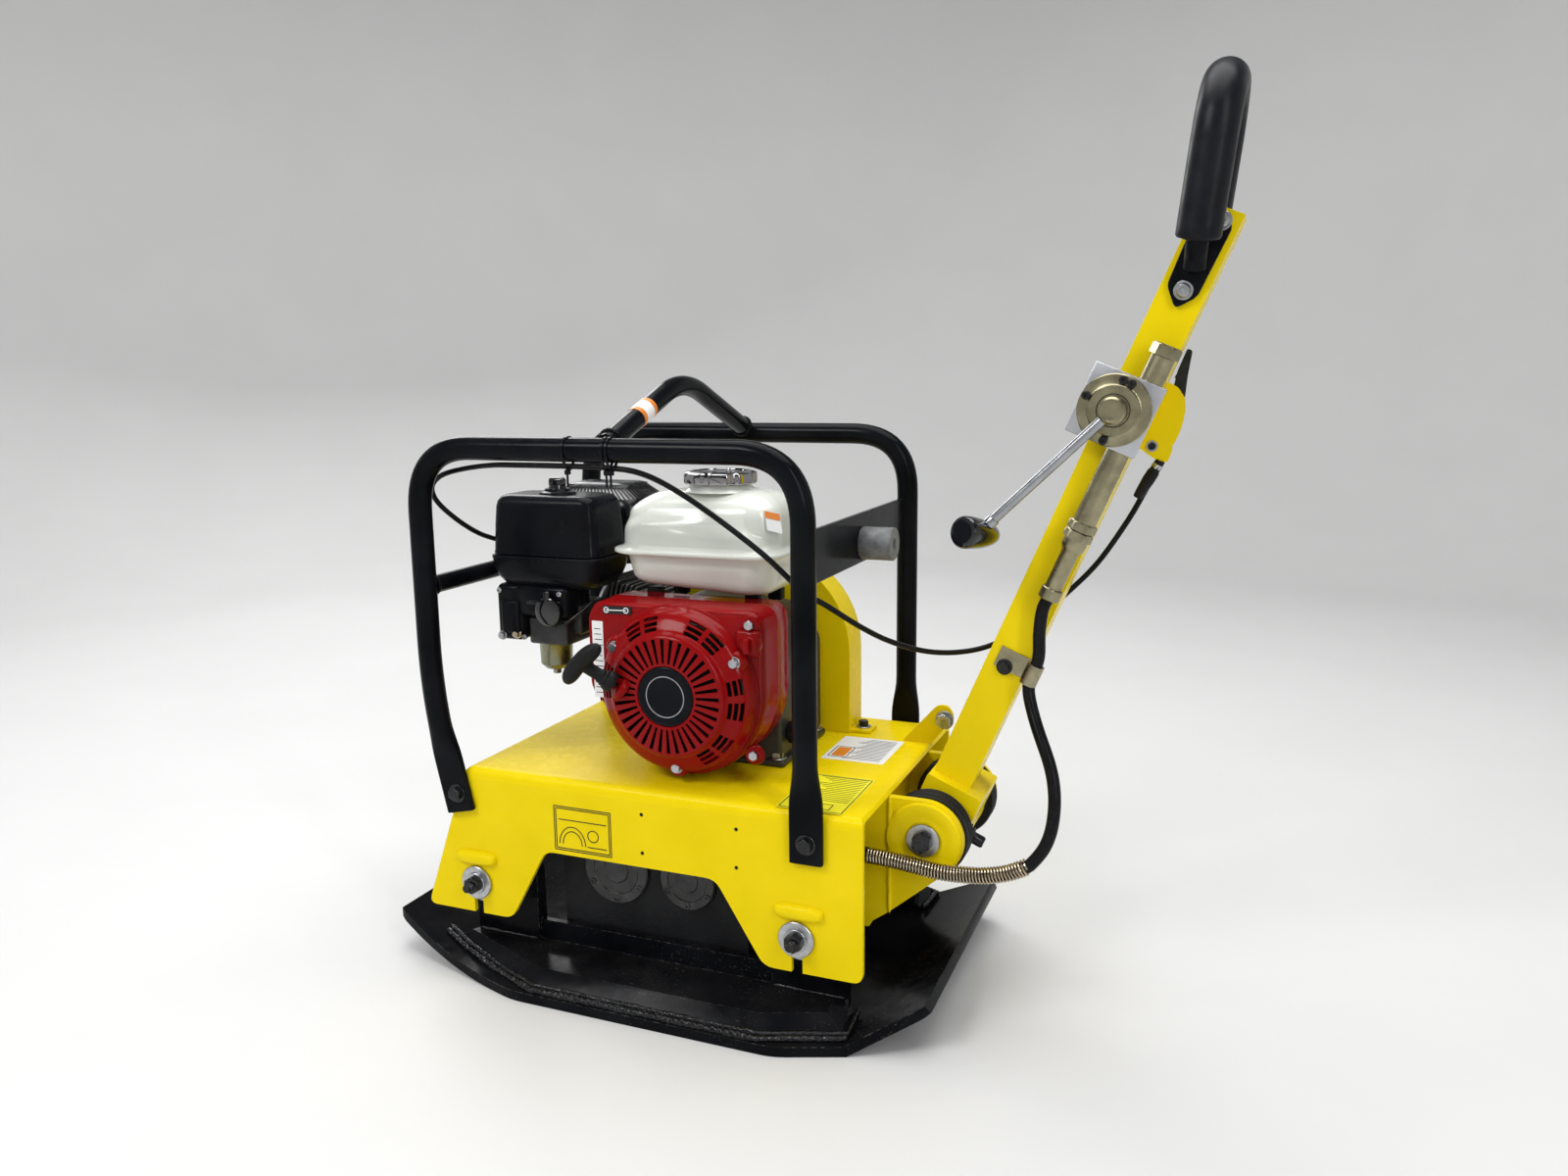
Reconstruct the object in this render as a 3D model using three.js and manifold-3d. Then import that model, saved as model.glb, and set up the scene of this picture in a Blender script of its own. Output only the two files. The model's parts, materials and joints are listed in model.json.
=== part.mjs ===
// Reversible plate compactor with a petrol engine, a tube cage and a folding handle.
// Millimetres. +X rearwards to the operator, -Y is the recoil starter side, +Z up.
// The origin is the centre of the base plate's underside.
import * as THREE from 'three';
import { mergeVertices } from 'three/addons/utils/BufferGeometryUtils.js';
import Module from 'manifold-3d';

const wasm = await Module();
wasm.setup();

// ---- driving dimensions ----
const GAP = 0.3; // clearance between touching pieces

const BASE = {
  end: 352, // half length
  half: 235, // half width
  endHalf: 173, // half width at the ends
  cornerFront: -141, // where the front corners start
  cornerRear: 193,
  thick: 12,
  noseStart: -165, // front end curls up from here
  noseRadius: 411,
  heelStart: 268, // rear end bends up from here
  heelSlope: Math.PI / 6,
};
const SHELF = { top: 35, inset: 17, inner: 138 }; // stiffener on each side of the base
const POST = { width: 90, top: 150, outer: 150, inner: 132 };
const MOUNT = { front: -217, rear: 204, z: 116 }; // rubber mount axes
const DECK = {
  half: 185,
  sheet: 6,
  top: 263,
  front: -225,
  rear: 280,
  toeX: -293,
  bottom: 76,
  bend: 14,
};
const EXCITER = { front: -49, rear: 47, z: 138, near: -134, far: 104, shaft: 12 };
const GEAR = { teeth: 24, pitch: 48, tip: 2.4, root: 4.2, y0: 60, y1: 84 };
const CRANK = { x: 42, z: 371, radius: 12.5 };
const BELT = { y0: 116, y1: 129, thick: 8, upper: 36, lower: 52 };
const CAGE = {
  y: 191,
  tube: 13.5,
  front: -262,
  rear: 217.6,
  top: 647,
  corner: 75,
  footX: -229,
  kneeZ: 345,
  footZ: 207,
  footHalf: 19,
  footThick: 4,
};
const ARCH = { x: -12, apex: 715, tube: 12 };
const CROSSBAR = { z: 483, radius: 11 };
const CROSS_PLATE = { x0: 212, x1: 218, z0: 507, z1: 565 };
const BUFFER = { radius: 19.5, hole: 6, end: 258, z: 530 };
const TANK = { x: 35, y: -20, halfX: 111, halfY: 76, z0: 470, seam: 520, top: 592, wall: 3 };
const CAP = { x: 46, radius: 44.5, height: 16 };
const SHROUD_ROOF = 467;
const FILTER = { x0: -243, x1: -92, y0: -90, y1: 0, z0: 465, seam: 508, top: 582 };
const PIVOT = { x: 320, z: 211, tilt: 22.9, bolt: 10 };
const EAR = { inner: 80, outer: 90, radius: 45 };
const POLE = { front: -28.5, rear: 17.5, half: 27, top: 727, wall: 3 };
const FOOT = { front: -31.5, rear: 36.7, top: 54.5, half: 45, hub: 38 };
const HEAD = { w: -13.6, u: 510, plate: 38, y0: -56, cylinderW: 6, cylinderY: -43.3 };
const LEVER = { y: -80, rod: 5.5, length: 169, lean: 23, knob: 16, knobNear: 17.5, knobFar: 10 };
const LOOP = {
  half: 57,
  x: 574.5,
  lean: 6.4,
  foot: 824,
  spring: 946.5,
  tube: 11,
  foam: 22,
  cuff: 849,
};
const HOSE = 7;
const CABLE = 3.2;

// ---- materials ----
const paint = (color, roughness = 0.35, metalness = 0) =>
  new THREE.MeshStandardMaterial({ color, roughness, metalness });
const YELLOW = 0xf0c800;
const BLACK = 0x101216;
const RED = 0xa81016;
const WHITE = 0xe4e8e2;
const ZINC = 0xb8bbbd;
const OLIVE = 0x8c8862;
const RUBBER = 0x1a1a1c;
const ALLOY = 0x9a9c9e;

// ---- helpers ----
const part = new THREE.Group();
const rad = THREE.MathUtils.degToRad;
const vec = (x, y, z) => new THREE.Vector3(x, y, z);

function solid(geometry) {
  const bare = geometry.index ? geometry.toNonIndexed() : geometry.clone();
  bare.deleteAttribute('normal');
  bare.deleteAttribute('uv');
  const merged = mergeVertices(bare, 1e-3);
  return new wasm.Manifold(new wasm.Mesh({
    numProp: 3,
    vertProperties: new Float32Array(merged.attributes.position.array),
    triVerts: new Uint32Array(merged.index.array),
  }));
}

function surface(manifold) {
  const mesh = manifold.getMesh();
  const geometry = new THREE.BufferGeometry();
  geometry.setAttribute('position', new THREE.BufferAttribute(mesh.vertProperties, 3));
  geometry.setIndex(new THREE.BufferAttribute(mesh.triVerts, 1));
  geometry.computeVertexNormals();
  return geometry;
}

function add(name, shape, material, parent = part) {
  const geometry = shape.isBufferGeometry ? shape : surface(shape);
  const mesh = new THREE.Mesh(geometry, material);
  mesh.name = name;
  parent.add(mesh);
  return mesh;
}

const join = (...pieces) => pieces.reduce((sum, piece) => sum.add(piece));
const cut = (body, ...tools) => tools.reduce((rest, tool) => rest.subtract(tool), body);

function box(x0, x1, y0, y1, z0, z1) {
  const geometry = new THREE.BoxGeometry(x1 - x0, y1 - y0, z1 - z0);
  return solid(geometry.translate((x0 + x1) / 2, (y0 + y1) / 2, (z0 + z1) / 2));
}

// round bar along Y between y0 and y1
function barY(radius, y0, y1, x, z, sides = 24) {
  const geometry = new THREE.CylinderGeometry(radius, radius, y1 - y0, sides);
  return solid(geometry.translate(x, (y0 + y1) / 2, z));
}

function barX(radius, x0, x1, y, z, sides = 20) {
  const geometry = new THREE.CylinderGeometry(radius, radius, x1 - x0, sides);
  return solid(geometry.rotateZ(-Math.PI / 2).translate((x0 + x1) / 2, y, z));
}

function barZ(radius, z0, z1, x, y, sides = 20) {
  const geometry = new THREE.CylinderGeometry(radius, radius, z1 - z0, sides);
  return solid(geometry.rotateX(Math.PI / 2).translate(x, y, (z0 + z1) / 2));
}

// round bar from one point to another
function barBetween(a, b, radius, sides = 12, radiusB = radius) {
  const along = b.clone().sub(a);
  const geometry = new THREE.CylinderGeometry(radiusB, radius, along.length(), sides);
  const turn = new THREE.Quaternion().setFromUnitVectors(vec(0, 1, 0), along.clone().normalize());
  const middle = a.clone().add(b).multiplyScalar(0.5);
  return solid(geometry.applyQuaternion(turn).translate(middle.x, middle.y, middle.z));
}

// outline in X and Z, thickened along Y
function prismY(outline, y0, y1, curveSegments = 8) {
  const geometry = new THREE.ExtrudeGeometry(outline, {
    depth: y1 - y0,
    bevelEnabled: false,
    curveSegments,
  });
  return solid(geometry.rotateX(Math.PI / 2).translate(0, y1, 0));
}

// outline in X and Y, thickened along Z
function prismZ(outline, z0, z1, curveSegments = 8) {
  const geometry = new THREE.ExtrudeGeometry(outline, {
    depth: z1 - z0,
    bevelEnabled: false,
    curveSegments,
  });
  return solid(geometry.translate(0, 0, z0));
}

const outlineOf = (points) => new THREE.Shape(points.map(([a, b]) => new THREE.Vector2(a, b)));

// closed outline with every corner rounded by the given radius
function roundOutline(points, radius) {
  const shape = new THREE.Shape();
  points.forEach(([x, y], i) => {
    const here = new THREE.Vector2(x, y);
    const before = new THREE.Vector2(...points[(i + points.length - 1) % points.length]);
    const after = new THREE.Vector2(...points[(i + 1) % points.length]);
    const start = here.clone().add(before.sub(here).setLength(radius));
    const end = here.clone().add(after.sub(here).setLength(radius));
    if (i === 0) shape.moveTo(start.x, start.y);
    else shape.lineTo(start.x, start.y);
    shape.quadraticCurveTo(x, y, end.x, end.y);
  });
  shape.closePath();
  return shape;
}

function roundBox(x0, x1, y0, y1, z0, z1, radius) {
  const outline = roundOutline([[x0, y0], [x1, y0], [x1, y1], [x0, y1]], radius);
  return prismZ(outline, z0, z1, 4);
}

// path of straight runs joined by rounded corners
function bentPath(points, radius) {
  const path = new THREE.CurvePath();
  let from = points[0];
  for (let i = 1; i < points.length - 1; i += 1) {
    const corner = points[i];
    const start = corner.clone().add(from.clone().sub(corner).setLength(radius));
    const end = corner.clone().add(points[i + 1].clone().sub(corner).setLength(radius));
    path.add(new THREE.LineCurve3(from, start));
    path.add(new THREE.QuadraticBezierCurve3(start, corner, end));
    from = end;
  }
  path.add(new THREE.LineCurve3(from, points[points.length - 1]));
  return path;
}

function tube(path, radius, steps, sides = 12, bore = 0) {
  const section = new THREE.Shape().absarc(0, 0, radius, 0, Math.PI * 2);
  if (bore > 0) section.holes.push(new THREE.Path().absarc(0, 0, bore, 0, Math.PI * 2, true));
  return new THREE.ExtrudeGeometry(section, {
    steps,
    extrudePath: path,
    curveSegments: sides / 2,
    bevelEnabled: false,
  });
}

// closed skin through rings of points, with flat ends
function skin(rings) {
  const count = rings[0].length;
  const positions = rings.flat().flatMap((p) => [p.x, p.y, p.z]);
  const index = [];
  for (let r = 0; r < rings.length - 1; r += 1) {
    for (let i = 0; i < count; i += 1) {
      const a = r * count + i;
      const b = r * count + (i + 1) % count;
      index.push(a, b, b + count, a, b + count, a + count);
    }
  }
  const last = (rings.length - 1) * count;
  for (let i = 1; i < count - 1; i += 1) {
    index.push(0, i + 1, i, last, last + i, last + i + 1);
  }
  const geometry = new THREE.BufferGeometry();
  geometry.setAttribute('position', new THREE.Float32BufferAttribute(positions, 3));
  geometry.setIndex(index);
  return geometry;
}

// turned piece about an axis along Y: profile of [radius, y]
function turnedY(profile, x, z, sides = 32) {
  const points = profile.map(([r, y]) => new THREE.Vector2(r, y));
  const geometry = new THREE.LatheGeometry(points, sides);
  return solid(geometry.translate(x, 0, z));
}

// ---- base plate ----
function basePlate() {
  const { end, thick, noseStart, noseRadius, heelStart, heelSlope } = BASE;
  const reach = Math.asin((end + noseStart) / noseRadius);
  const rise = (end - heelStart) * Math.tan(heelSlope);
  const profile = new THREE.Shape();
  profile.moveTo(heelStart, 0);
  profile.lineTo(end, rise);
  profile.lineTo(end - thick * Math.sin(heelSlope), rise + thick * Math.cos(heelSlope));
  profile.lineTo(heelStart - thick * Math.tan(heelSlope / 2), thick);
  profile.lineTo(noseStart, thick);
  const middle = -Math.PI / 2;
  profile.absarc(noseStart, noseRadius, noseRadius - thick, middle, middle - reach, true);
  profile.absarc(noseStart, noseRadius, noseRadius, middle - reach, middle, false);
  const plan = roundOutline(planPoints(BASE.half, BASE.endHalf, end + 1), 14);
  return prismY(profile, -BASE.half, BASE.half, 7).intersect(prismZ(plan, -1, 90, 3));
}

function planPoints(half, endHalf, end) {
  const { cornerFront, cornerRear } = BASE;
  return [
    [cornerFront, -half], [cornerRear, -half], [end, -endHalf], [end, endHalf],
    [cornerRear, half], [cornerFront, half], [-end, endHalf], [-end, -endHalf],
  ];
}

const baseSolid = basePlate();
add('base_plate', baseSolid, paint(BLACK, 0.25));

// ---- side frames: stiffener shelf, upstand and two mount posts, welded together ----
function sideFrame(side) {
  const foot = [[-283, -165], [-118, -229], [172, -230], [262, -196], [256, -138], [-262, -138]];
  const crown = [[-250, -158], [-112, -212], [168, -212], [238, -184], [236, -138], [-240, -138]];
  const ring = (points, z) => points.map(([x, y]) => vec(x, y * -side, z));
  const rings = [ring(foot, 2), ring(foot, BASE.thick + 3), ring(crown, SHELF.top)];
  let frame = solid(skin(side < 0 ? rings : rings.reverse()));
  const yy = (a, b) => (side < 0 ? [-a, -b] : [b, a]);
  frame = frame.add(box(-245, 250, ...yy(SHELF.inner + 8, SHELF.inner), 20, 60));
  [MOUNT.front + 17, MOUNT.rear].forEach((x) => {
    const [y0, y1] = yy(POST.outer, POST.inner);
    const half = POST.width / 2;
    const outline = roundOutline(
      [[x - half, 20], [x + half, 20], [x + half, POST.top - 25], [x + half - 20, POST.top],
        [x - half + 20, POST.top], [x - half, POST.top - 25]], 6);
    frame = frame.add(prismY(outline, y0, y1, 3));
  });
  return cut(frame,
    ...[GAP, -10, -20].map((drop) => baseSolid.translate([0, 0, drop])),
    box(-400, 400, -300, 300, -20, BASE.thick + GAP));
}
add('side_frame_left', sideFrame(-1), paint(BLACK, 0.25));
add('side_frame_right', sideFrame(1), paint(BLACK, 0.25));

// ---- exciter: housing, covers, two meshed eccentric shafts ----
function exciterHousing() {
  const { front, rear, z, near, far } = EXCITER;
  const outline = roundOutline(
    [[front - 76, BASE.thick + GAP], [rear + 76, BASE.thick + GAP], [rear + 76, 170],
      [rear + 40, 200], [front - 40, 200], [front - 76, 170]], 10);
  const chamber = roundOutline(
    [[front - 56, z - 56], [rear + 56, z - 56], [rear + 56, z + 52], [front - 56, z + 52]], 20);
  let body = cut(prismY(outline, near, far, 3), prismY(chamber, near + 12, far - 12, 3));
  [front, rear].forEach((x) => {
    body = body.subtract(barY(36, near - 1, near + 13, x, z, 32));
  });
  return body.subtract(barY(EXCITER.shaft + GAP, far - 13, far + 1, rear, z, 32));
}
add('exciter_housing', exciterHousing(), paint(BLACK, 0.4));
const coverFace = EXCITER.near - GAP;
add('exciter_cover_front', barY(45, coverFace - 5, coverFace, EXCITER.front, EXCITER.z, 32),
  paint(0x2a2c30, 0.5));
add('exciter_cover_rear', barY(45, coverFace - 5, coverFace, EXCITER.rear, EXCITER.z, 32),
  paint(0x202226, 0.5));

// toothed disc about an axis along Y
function gear(x, z, phase) {
  const { teeth, pitch, tip, root, y0, y1 } = GEAR;
  const step = (Math.PI * 2) / teeth;
  const points = [];
  for (let i = 0; i < teeth; i += 1) {
    const centre = i * step + phase;
    [[-0.26, -root], [-0.11, tip], [0.11, tip], [0.26, -root]].forEach(([at, height]) => {
      const angle = centre + at * step;
      const radius = pitch + height;
      points.push([x + radius * Math.cos(angle), z + radius * Math.sin(angle)]);
    });
  }
  return prismY(outlineOf(points), y0, y1);
}

function eccentricShaft(x, farEnd, phase) {
  const weight = new THREE.Shape().absarc(x, EXCITER.z, 40, Math.PI, Math.PI * 2);
  return join(
    barY(EXCITER.shaft, EXCITER.near + 16, farEnd, x, EXCITER.z),
    prismY(weight, -95, 40, 12),
    gear(x, EXCITER.z, phase),
  );
}
const halfTooth = Math.PI / GEAR.teeth;
add('eccentric_shaft_front', eccentricShaft(EXCITER.front, 88, 0), paint(ALLOY, 0.3, 1));
add('eccentric_shaft_rear', eccentricShaft(EXCITER.rear, 140, halfTooth), paint(ALLOY, 0.3, 1));

// ---- belt drive ----
function pulley(x, z, groove, y0, y1, bore) {
  const rim = groove + 11;
  const mid = (y0 + y1) / 2;
  const profile = [
    [bore, y0], [rim, y0], [rim, y0 + 3], [groove, mid - 5], [groove, mid + 5], [rim, y1 - 3],
    [rim, y1], [bore, y1], [bore, y0],
  ];
  return turnedY(profile, x, z);
}
const pulleyY = [BELT.y0 - 4, BELT.y1 + 4];
const boreFit = GAP;
add('exciter_pulley', pulley(EXCITER.rear, EXCITER.z, BELT.lower - GAP, ...pulleyY,
  EXCITER.shaft + boreFit), paint(ALLOY, 0.4, 1));
add('clutch_pulley', pulley(CRANK.x, CRANK.z, BELT.upper - GAP, ...pulleyY, CRANK.radius + boreFit),
  paint(ALLOY, 0.4, 1));

// loop round two circles, the lower one larger
function beltOutline(extra) {
  const shape = new THREE.Shape();
  const upper = BELT.upper + extra;
  const lower = BELT.lower + extra;
  shape.moveTo(EXCITER.rear + lower, EXCITER.z);
  shape.lineTo(CRANK.x + upper, CRANK.z);
  shape.absarc(CRANK.x, CRANK.z, upper, 0, Math.PI, false);
  shape.lineTo(EXCITER.rear - lower, EXCITER.z);
  shape.absarc(EXCITER.rear, EXCITER.z, lower, Math.PI, Math.PI * 2, false);
  return shape;
}
const beltInner = prismY(beltOutline(GAP), BELT.y0 - 1, BELT.y1 + 1, 14);
const beltMiddle = [(BELT.y0 + BELT.y1) / 2 - 4, (BELT.y0 + BELT.y1) / 2 + 4];
add('v_belt', cut(prismY(beltOutline(BELT.thick), ...beltMiddle, 14), beltInner), paint(RUBBER, 0.8));

// ---- rubber mounts and their bolts ----
[['front', MOUNT.front], ['rear', MOUNT.rear]].forEach(([where, x]) => {
  [['left', -1], ['right', 1]].forEach(([hand, side]) => {
    const span = (a, b) => (side < 0 ? [-b, -a] : [a, b]);
    const rubber = barY(28, ...span(POST.outer + GAP, DECK.half - DECK.sheet - GAP), x, MOUNT.z);
    add(`rubber_mount_${where}_${hand}`, rubber, paint(RUBBER, 0.8));
    const face = DECK.half + GAP;
    const bolt = join(
      barY(6, ...span(DECK.half - DECK.sheet - GAP + 0.4, face + 24), x, MOUNT.z, 16),
      barY(21, ...span(face, face + 4), x, MOUNT.z, 28),
      barY(13.5, ...span(face + 4, face + 16), x, MOUNT.z, 6),
    );
    add(`mount_bolt_${where}_${hand}`, bolt, paint(ZINC, 0.3, 1));
  });
});

// ---- deck: bent sheet with two side aprons ----
function deckCover() {
  const { half, sheet, top, front, rear, toeX, bottom, bend } = DECK;
  const lap = (inset) => {
    const w = half - inset;
    const h = top - inset;
    const r = bend - inset;
    const shape = new THREE.Shape();
    shape.moveTo(-w, 0);
    shape.lineTo(w, 0);
    shape.lineTo(w, h - r);
    shape.quadraticCurveTo(w, h, w - r, h);
    shape.lineTo(-w + r, h);
    shape.quadraticCurveTo(-w, h, -w, h - r);
    shape.closePath();
    return shape;
  };
  const along = (shape, x0, x1) => {
    const geometry = new THREE.ExtrudeGeometry(shape, {
      depth: x1 - x0,
      bevelEnabled: false,
      curveSegments: 5,
    });
    geometry.rotateY(Math.PI / 2).rotateX(Math.PI / 2);
    return solid(geometry.translate(x0, 0, 0));
  };
  const sheetBody = cut(along(lap(0), toeX, rear), along(lap(sheet), toeX - 1, rear + 1));
  const outline = roundOutline([
    [toeX, bottom], [-169, bottom], [-117, 170], [106, 170], [164, bottom],
    [rear, bottom], [rear, top + 1], [front, top + 1],
  ], 12);
  let deck = sheetBody.intersect(prismY(outline, -half - 1, half + 1, 4));
  [MOUNT.front, MOUNT.rear].forEach((x) => {
    deck = cut(deck,
      box(x - 6.4, x + 6.4, -half - 2, half + 2, 0, MOUNT.z),
      barY(6.4, -half - 2, half + 2, x, MOUNT.z, 16));
  });
  deck = cut(deck, box(-24, 112, 105, 141, top - sheet - 1, top + 2));
  const lug = roundOutline([[240, top - 1], [278, top - 1], [308, 300], [300, 314], [286, 314]], 6);
  return deck.add(prismY(lug, 94, 100, 3));
}
add('deck_cover', deckCover(), paint(YELLOW, 0.25));

// ---- belt cover: arched box over the belt drive ----
function beltCover() {
  const foot = DECK.top + GAP;
  const arch = (radius, z) => {
    const shape = new THREE.Shape();
    shape.moveTo(CRANK.x + radius, z);
    shape.lineTo(CRANK.x + radius, CRANK.z);
    shape.absarc(CRANK.x, CRANK.z, radius, 0, Math.PI, false);
    shape.lineTo(CRANK.x - radius, z);
    shape.closePath();
    return shape;
  };
  const shell = cut(
    prismY(arch(126, foot), 100, 148, 12),
    prismY(arch(123, foot - 1), 103, 145, 12),
    barY(30, 99, 104, CRANK.x, CRANK.z, 24),
  );
  return shell.add(roundBox(160, 194, 104, 138, foot, foot + 4, 6));
}
add('belt_cover', beltCover(), paint(YELLOW, 0.3));

// ---- cage: two hoops, lifting arch, crossbar, cross plate ----
function cageHoop(side) {
  const y = CAGE.y * side;
  const { front, rear, top, corner, footX, kneeZ, footZ, tube: r, footHalf, footThick } = CAGE;
  const padY = (DECK.half + GAP + footThick) * side;
  const path = bentPath([
    vec(footX - 2, 0, footZ), vec(front, 0, kneeZ), vec(front, 0, top), vec(rear, 0, top),
    vec(rear, 0, footZ),
  ], corner);
  const stations = path.curves.flatMap((curve, i) => {
    const count = curve.isLineCurve3 ? [8, 1, 1, 7][i / 2] : 6;
    return Array.from({ length: count }, (unused, k) => [curve, k / count]);
  });
  stations.push([path.curves[path.curves.length - 1], 1]);
  const sides = 12;
  const rings = [];
  stations.forEach(([curve, t]) => {
    const point = curve.getPoint(t);
    const along = curve.getTangent(t);
    const lift = THREE.MathUtils.smoothstep(point.z, 272, 318);
    const flat = THREE.MathUtils.lerp(footHalf, r, lift);
    const deep = THREE.MathUtils.lerp(footThick, r, lift);
    const midY = THREE.MathUtils.lerp(padY, y, lift);
    const across = vec(along.z, 0, -along.x);
    const ring = [];
    for (let k = 0; k < sides; k += 1) {
      const angle = (k / sides) * Math.PI * 2;
      const c = Math.cos(angle);
      const s = Math.sin(angle);
      const squareness = THREE.MathUtils.lerp(0.35, 1, lift);
      const u = Math.sign(c) * Math.abs(c) ** squareness * flat;
      const v = Math.sign(s) * Math.abs(s) ** squareness * deep;
      ring.push(vec(point.x + across.x * u, midY + v, point.z + across.z * u));
    }
    rings.push(ring);
  });
  return solid(skin(rings));
}
const hoops = [cageHoop(-1), cageHoop(1)];
add('cage_hoop_left', hoops[0], paint(BLACK, 0.25));
add('cage_hoop_right', hoops[1], paint(BLACK, 0.25));

function liftingArch() {
  const end = CAGE.y - CAGE.tube * 0.5;
  const low = CAGE.top + 6;
  const path = bentPath([
    vec(ARCH.x, -end, low), vec(ARCH.x, 0, ARCH.apex + 8), vec(ARCH.x, end, low),
  ], 55);
  const weld = (side) => barX(CAGE.tube + GAP, ARCH.x - 40, ARCH.x + 40, CAGE.y * side, CAGE.top, 24);
  return cut(solid(tube(path, ARCH.tube, 22)), weld(-1), weld(1));
}
add('lifting_arch', liftingArch(), paint(BLACK, 0.25));

const railEnd = CAGE.y - CAGE.tube - GAP;
add('front_crossbar', barY(CROSSBAR.radius, -railEnd, railEnd, CAGE.front, CROSSBAR.z, 16),
  paint(BLACK, 0.25));
add('rear_cross_plate', box(CROSS_PLATE.x0, CROSS_PLATE.x1, -railEnd, railEnd,
  CROSS_PLATE.z0, CROSS_PLATE.z1), paint(BLACK, 0.25));
add('handle_buffer', cut(
  barX(BUFFER.radius, CROSS_PLATE.x1 + GAP, BUFFER.end, 0, BUFFER.z, 24),
  barX(BUFFER.hole, CROSS_PLATE.x1 + 12, BUFFER.end + 1, 0, BUFFER.z, 12),
), paint(0x55585c, 0.8));

// ---- engine ----
const engineFoot = DECK.top + GAP;
function crankcase() {
  const outline = roundOutline([
    [-50, engineFoot], [135, engineFoot], [135, 400], [100, 440], [-20, 452], [-58, 420],
  ], 14);
  return cut(prismY(outline, -56, 84, 4), barY(CRANK.radius + GAP, -60, 90, CRANK.x, CRANK.z, 32));
}
add('crankcase', crankcase(), paint(ALLOY, 0.5, 0.6));

function crankshaft() {
  return join(
    barY(CRANK.radius, -120, 142, CRANK.x, CRANK.z, 24),
    barY(74, -124, -84, CRANK.x, CRANK.z, 32),
    barY(28, -134, -124, CRANK.x, CRANK.z, 24),
  );
}
add('crankshaft', crankshaft(), paint(ALLOY, 0.35, 1));

// cylinder and head, leaning forwards off the crankcase
const cylinder = roundOutline([[-62, 362], [-62, 452], [-156, 478], [-156, 388]], 8);
add('cylinder_head', prismY(cylinder, 4, 92, 3), paint(ALLOY, 0.5, 0.6));

// fan housing: open at the back, round below and square at the upper front
function shroudOutline(inset) {
  const radius = 104 - inset;
  const left = -78 + inset;
  const right = 146 - inset;
  const roof = SHROUD_ROOF - inset;
  const shape = new THREE.Shape();
  shape.moveTo(right, CRANK.z);
  shape.lineTo(right, roof - 22);
  shape.quadraticCurveTo(right, roof, right - 22, roof);
  shape.lineTo(left + 14, roof);
  shape.quadraticCurveTo(left, roof, left, roof - 14);
  shape.lineTo(left, 372);
  shape.lineTo(CRANK.x - radius * 0.94, CRANK.z - radius * 0.34);
  shape.absarc(CRANK.x, CRANK.z, radius, Math.PI * 1.11, Math.PI * 2, false);
  return shape;
}
add('fan_housing', cut(
  prismY(shroudOutline(0), -137, -57, 12),
  prismY(shroudOutline(3), -134, -56, 12),
  barY(82, -138, -133, CRANK.x, CRANK.z, 32),
), paint(RED, 0.25));

// recoil cover: shallow dish with a rolled rim
const recoilY = -137 - GAP;
const recoilProfile = [
  [0, recoilY - 33], [62, recoilY - 33], [80, recoilY - 29], [92, recoilY - 14], [96, recoilY],
  [90, recoilY], [86, recoilY - 12], [76, recoilY - 25], [60, recoilY - 29], [0, recoilY - 29],
];
add('recoil_cover', turnedY(recoilProfile, CRANK.x, CRANK.z, 36), paint(RED, 0.25));

// recoil grip: boot and T bar, standing off the recoil cover's face
const pullFrom = vec(-22, -172, 381);
const pull = vec(-0.62, -0.51, 0.6).normalize();
const alongPull = (distance) => pullFrom.clone().addScaledVector(pull, distance);
const bar = vec(0.77, 0, 0.64);
bar.addScaledVector(pull, -bar.dot(pull)).normalize();
const barCentre = alongPull(46);
add('recoil_grip', join(
  barBetween(alongPull(6), alongPull(46), 7.5),
  barBetween(barCentre.clone().addScaledVector(bar, -34), barCentre.clone().addScaledVector(bar, 34), 11),
), paint(RUBBER, 0.7));

add('engine_switch', join(
  barY(10, -148, -137 - GAP, 134, 432, 20),
  box(130.5, 137.5, -155, -147, 424, 440),
), paint(RED, 0.35));

function fuelTank() {
  const { x, y, halfX, halfY, z0, seam, top, wall } = TANK;
  const level = (z, inset) => roundOutline([
    [x - halfX + inset, y - halfY + inset], [x + halfX - inset, y - halfY + inset],
    [x + halfX - inset, y + halfY - inset], [x - halfX + inset, y + halfY - inset],
  ], 30 - inset * 0.4).getPoints(4).slice(0, -1).map((p) => vec(p.x, p.y, z));
  const outer = solid(skin([
    level(z0, 28), level(z0 + 8, 17), level(seam - 5, 14), level(seam - 2, 1), level(seam + 3, 1),
    level(seam + 6, 10), level(top - 26, 14), level(top - 8, 26), level(top, 44),
  ]));
  const inner = solid(skin([
    level(z0 + wall, 31), level(z0 + 10, 20), level(top - 27, 17), level(top - 10, 29),
    level(top - wall, 46),
  ]));
  const neck = join(outer, barZ(30, top - 5, top + 5, CAP.x, y, 28));
  return cut(neck, inner, barZ(22, top - 12, top + 6, CAP.x, y, 28));
}
add('fuel_tank', fuelTank(), paint(WHITE, 0.3));
const capFoot = TANK.top + 5 + GAP;
add('fuel_cap', join(
  barZ(CAP.radius, capFoot, capFoot + CAP.height, CAP.x, TANK.y, 32),
  barZ(21, TANK.top - 8, capFoot + 1, CAP.x, TANK.y, 24),
), paint(ZINC, 0.15, 1));

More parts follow.
